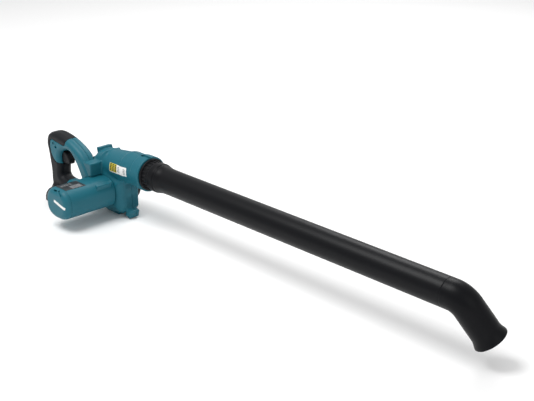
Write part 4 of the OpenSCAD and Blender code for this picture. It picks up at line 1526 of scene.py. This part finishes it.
@dataclass
class Nozzle:
    """The ribbed coupling, the long tube with its bell and the bent tip."""

    tube_r: float = 25.0
    bore_r: float = 23.4
    tube_start: float = 132.6
    tube_end: float = 821.6
    ring_x: float = 113.6
    bend_r: float = 29.0
    sweep_r: float = 38.0
    bend: float = 62.0
    roll: float = 23.0
    tip_len: float = 58.0

    def on_axis(self, name: str, profile: Sequence[Point]) -> bpy.types.Object:
        """Spins a profile of (X, radius, corner radius) about the nozzle's axis."""
        corners, faces = lathe(fillet(profile), 128)
        return mesh_object(name, corners + np.array([0.0, 0.0, DUCT_Z]), faces, 32)

    def coupling(self, shop: Workshop) -> None:
        """Builds the coupling: spigot, flange, neck, its ribs and the two lugs.

        Args:
            shop: The shared workshop.
        """
        x, inner = self.ring_x, 21.0
        body = self.on_axis(
            "coupling_body",
            [(77, inner, 0.5), (77, 29.4, 1.2), (x - 8, 29.4, 0.2), (x - 8, 27.5, 0.2), (x - 5, 27.5, 0.2),
             (x - 5, 29.4, 0.2), (x, 29.4, 0.2), (x, 32.0, 0.6), (x + 4, 32.0, 1.2), (x + 4.6, 27.5, 0.8),
             (self.tube_start - 0.3, 27.5, 0.5), (self.tube_start - 0.3, 23.3, 0.2), (156.6, 23.3, 0.8),
             (156.6, inner, 0.5)][::-1],
        )
        shop.fit(body, "nozzle", "black_case", "nozzle_coupling", finish=BLACK)
        rib = mesh_object("grip_rib_unit", *unit_block((5.6, 0.95, 1.7), (x + 9.6, 0.0, 27.6), 0.5))
        ribs = shop.rings.apply(
            "coupling_ribs", rib, BLACK, Count=24, Start=0.0, Axis=(1, 0, 0), Centre=(0, 0, DUCT_Z * MM)
        )
        shop.fit(ribs, "nozzle", "black_case")
        section = [(25.0, 0.01, 0), (25.0, 2.5, 0.2), (31.7, 2.5, 0.6), (31.7, 0.01, 0)]
        lug, lug_faces = lathe(fillet(section[::-1]), 28)
        lug = np.stack([lug[:, 2] + 100.0, lug[:, 0], lug[:, 1]], axis=1)
        lugs = shop.rings.apply(
            "bayonet_lugs",
            mesh_object("lug_unit", lug, lug_faces),
            BLACK,
            Count=2,
            Start=0.0,
            Axis=(1, 0, 0),
            Centre=(0, 0, DUCT_Z * MM),
        )
        shop.fit(lugs, "nozzle", "black_case")

    def tube(self, shop: Workshop) -> None:
        """Builds the tube with the rolled bell behind and the plain end in front.

        Args:
            shop: The shared workshop.
        """
        s, e = self.tube_start, self.tube_end
        wall = self.on_axis(
            "tube_wall",
            [(s, self.bore_r, 0.4), (s, 28.2, 1.2), (s + 1.5, 29.0, 1.5), (s + 13.2, 29.0, 1.6),
             (s + 15.0, 27.4, 0.6), (s + 16.6, 27.0, 1.2), (s + 18.0, 27.6, 1.2), (s + 21.0, 27.2, 1.6),
             (s + 30.0, 25.3, 6.0), (s + 44.0, self.tube_r, 4.0), (e, self.tube_r, 0.5),
             (e, self.bore_r, 0.3)][::-1],
        )
        shop.fit(wall, "nozzle", "tube_black", "nozzle_tube", finish=TUBE)

    def tip(self, shop: Workshop) -> None:
        """Builds the tip: a straight profile with a rounded lip, bent and rolled by a node tree.

        Args:
            shop: The shared workshop.
        """
        run = self.bend_r * math.radians(self.bend)
        spare = (self.sweep_r - self.bend_r) * math.tan(math.radians(self.bend / 2))
        start = 3.0 + spare
        end = start + run + spare + self.tip_len
        outer = [(x, self.tube_r) for x in np.linspace(0.6, end - 18.0, 48)]
        lip = [(end - 14, 25.1), (end - 9, 26.0), (end - 5, 27.4), (end - 2.2, 28.3), (end - 0.8, 28.5),
               (end - 0.1, 28.0), (end, 27.3), (end - 0.6, 26.6), (end - 3.0, 25.6), (end - 7.0, 24.4),
               (end - 12.0, 23.5)]
        bore = [(x, self.bore_r) for x in np.linspace(end - 16.0, 3.0, 46)]
        socket = [(2.8, 21.8), (-11.6, 21.8), (-12.0, 22.2), (-12.0, 23.2), (-0.05, 23.3), (0.05, 24.7)]
        corners, faces = lathe((outer + lip + bore + socket)[::-1], 112)
        straight = mesh_object("tip_straight", corners, faces, 32)
        tip = shop.bends.apply(
            "bent_tip",
            straight,
            TIP,
            Bend_Start=start * MM,
            Bend_Radius=self.bend_r * MM,
            Bend_Angle=math.radians(self.bend),
            Roll=math.radians(self.roll),
            Offset=(self.tube_end * MM, 0.0, DUCT_Z * MM),
        )
        shop.fit(tip, "nozzle", "tube_black", "nozzle_tip")

    def build(self, shop: Workshop) -> None:
        """Builds the coupling, the tube and the tip.

        Args:
            shop: The shared workshop.
        """
        self.coupling(shop)
        self.tube(shop)
        self.tip(shop)


# ---------------------------------------------------------------- label


@dataclass
class DuctLabel:
    """The printed label on the duct, a white and a yellow field with plain marks."""

    casing: FanCasing
    rear: float = 18.0
    split: float = 43.0
    front: float = 75.0
    low: float = 99.0
    high: float = 117.0
    cone_rear: float = -9.0
    cone_len: float = 77.0
    rear_r: float = 30.0
    rear_z: float = 100.3

    def film(self, rear: float, front: float, proud: float, low: float, high: float) -> Field:
        """A film that follows the duct between the given limits.

        Args:
            rear: X of its rear edge.
            front: X of its front edge.
            proud: How far it stands off the duct.
            low: Z of its lower edge.
            high: Z of its upper edge.

        Returns:
            The film's field.
        """
        centre = ((rear + front) / 2, -33.0, (low + high) / 2)
        half = ((front - rear) / 2, 12.0, (high - low) / 2)

        def shape(where: Grid) -> Array:
            """The film's field.

            Args:
                where: X, Y and Z of the points.

            Returns:
                The distance field.
            """
            d = self.casing.duct(where)
            layer = np.maximum(d - proud, -(d + 0.6))
            return rounded(layer, block(where, centre, half, 1.2, -3.0), 0.08)

        return shape

    def marks(
        self,
        name: str,
        shop: Workshop,
        finish: Finish,
        half: Point,
        at: Point,
        grid: tuple[int, int],
        step: Spot,
    ) -> None:
        """Lays a grid of small bars on the label and bends it round the duct.

        Args:
            name: Name of the piece.
            shop: The shared workshop.
            finish: The marks' finish.
            half: Half sizes of one mark.
            at: Place of the first mark: X, depth below the face, and Z.
            grid: Marks along X and up.
            step: Distance between them along X and up.
        """
        made = shop.rows.apply(
            name,
            mesh_object(name + "_unit", *unit_block(half, at, 0.04)),
            finish,
            Count=grid[0],
            Step=(step[0] * MM, 0, 0),
            Rows=grid[1],
            Row_Step=(0, 0, step[1] * MM),
        )
        place = np.array([v.co for v in made.data.vertices]) / MM
        share = np.clip((place[:, 0] - self.cone_rear) / self.cone_len, 0.0, 1.0)
        radius = self.rear_r + 3.0 * share
        middle = self.rear_z + (DUCT_Z - self.rear_z) * share
        angle = (place[:, 2] - middle) / radius
        out = radius + 0.5 - place[:, 1]
        wrapped = np.stack([place[:, 0], -out * np.cos(angle), middle + out * np.sin(angle)], axis=1)
        made.data.vertices.foreach_set("co", (wrapped * MM).ravel())
        made.data.update()
        shop.fit(made, "casing", "label_film")

    def build(self, shop: Workshop) -> None:
        """Builds the two fields and their marks.

        Args:
            shop: The shared workshop.
        """
        corner, quad, inset = (16, -36, 96), 0.45, 0.8
        field_white = self.film(self.rear, self.front, 0.35, self.low, self.high)
        white = shop.wrap("label_white", field_white, corner, (77, -25, 121), quad)
        shop.fit(white, "casing", "white_film", "duct_label", finish=WHITE)
        field_yellow = self.film(self.rear + inset, self.split, 0.55, self.low + inset, self.high - inset)
        yellow = shop.wrap("label_yellow", field_yellow, corner, (46, -25, 121), quad)
        shop.fit(yellow, "casing", "label_film", finish=YELLOW)
        self.marks("label_dark_marks", shop, DARK, (2.6, 0.15, 0.9), (23.5, 0.0, 102.2), (3, 5), (8.0, 3.1))
        self.marks("label_grey_marks", shop, PALE, (3.2, 0.15, 0.7), (50.0, 0.0, 104.6), (3, 4), (9.0, 3.0))


# ---------------------------------------------------------------- carried nodes, stage, camera


@dataclass
class CarriedNodes:
    """CAD nodes that keep their own shape and get a finish."""

    finishes: dict[str, Finish] = field(
        default_factory=lambda: {
            "terminal_block": GREY,
            "battery_terminals": COPPER,
            "controller_board": BOARD,
            "switch_body": GREY,
            "impeller_nut": STEEL,
            "motor_shaft": STEEL,
            "motor_can": STEEL,
            "field_magnets": FERRITE,
            "armature_core": SHEETS,
            "armature_windings": COPPER,
            "commutator": COPPER,
            "brush_end_bell": GREY,
            "carbon_brushes": CARBON,
            "front_bearing": STEEL,
            "rear_bearing": STEEL,
            "case_screws": STEEL,
            "guard_screws": STEEL,
            "motor_screws": STEEL,
            "power_leads": LEAD,
            "coupling_seal": ELASTOMER,
        }
    )

    def build(self, nodes: dict[str, bpy.types.Object]) -> None:
        """Dresses each node through its material slots.

        Args:
            nodes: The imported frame's objects, by node name.
        """
        for name, finish in self.finishes.items():
            for slot in nodes[name].material_slots:
                slot.material = finish.make()
            LOG.info("%s keeps its shape in %s", name, finish.name)


@dataclass
class Studio:
    """The floor, the lights, the world and the camera."""

    eye: Point = (1.65374, -1.18983, 0.82615)
    back: Point = (0.6648, -0.6484, 0.3711)
    lens: float = 71.7

    def floor(self) -> None:
        """A plain pale floor that the object stands on."""
        mesh = bpy.data.meshes.new("floor")
        mesh.from_pydata([(-6, -6, 0), (6, -6, 0), (6, 6, 0), (-6, 6, 0)], [], [(0, 1, 2, 3)])
        made = bpy.data.objects.new("floor", mesh)
        bpy.context.scene.collection.objects.link(made)
        material = bpy.data.materials.new("studio_floor")
        material.use_nodes = True
        shader = material.node_tree.nodes["Principled BSDF"]
        shader.inputs["Base Color"].default_value = (0.93, 0.93, 0.93, 1.0)
        shader.inputs["Roughness"].default_value = 0.9
        mesh.materials.append(material)

    def light(self, name: str, at: Point, aim: Point, size: float, power: float) -> None:
        """One soft square light.

        Args:
            name: Name of the light.
            at: Where it stands.
            aim: What it points at.
            size: Width of its square.
            power: Power in watts.
        """
        lamp = bpy.data.lights.new(name, "AREA")
        lamp.energy, lamp.size = power, size
        made = bpy.data.objects.new(name, lamp)
        made.location = at
        made.rotation_euler = (Vector(at) - Vector(aim)).to_track_quat("Z", "Y").to_euler()
        bpy.context.scene.collection.objects.link(made)

    def build(self) -> None:
        """Sets the floor, the lights, the world and the camera."""
        self.floor()
        self.light("key", (-0.2, -0.9, 2.4), (0.25, 0, 0.05), 1.3, 46.0)
        self.light("fill", (2.6, -0.4, 1.2), (0.3, 0, 0.05), 1.6, 5.0)
        self.light("rim", (-0.6, 1.8, 1.9), (0.2, 0, 0.05), 1.2, 22.0)
        world = bpy.data.worlds.new("studio")
        world.use_nodes = True
        world.node_tree.nodes["Background"].inputs["Color"].default_value = (1.0, 1.0, 1.0, 1.0)
        world.node_tree.nodes["Background"].inputs["Strength"].default_value = 0.6
        bpy.context.scene.world = world
        bpy.context.scene.view_settings.view_transform = "Standard"
        lens = bpy.data.cameras.new("camera")
        lens.lens, lens.sensor_width = self.lens, 36.0
        lens.clip_start, lens.clip_end = 0.01, 50.0
        camera = bpy.data.objects.new("camera", lens)
        back = Vector(self.back).normalized()
        side = Vector((0.0, 0.0, 1.0)).cross(back).normalized()
        up = back.cross(side)
        turn = Matrix((side, up, back)).transposed().to_4x4()
        camera.matrix_world = Matrix.Translation(Vector(self.eye)) @ turn
        bpy.context.scene.collection.objects.link(camera)
        bpy.context.scene.camera = camera


def main() -> None:
    """Builds every sub-assembly in order."""
    logging.basicConfig(level=logging.INFO, format="%(name)s: %(message)s")
    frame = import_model()
    Studio().build()
    shop = Workshop()
    handle = Handle()
    casing = FanCasing(handle)
    casing.build(shop)
    MotorHousing().build(shop)
    handle.build(shop)
    BatteryBase().build(shop)
    IntakeSide(casing).build(shop)
    Nozzle().build(shop)
    DuctLabel(casing).build(shop)
    CarriedNodes().build(frame["nodes"])


if __name__ == "__main__":
    main()
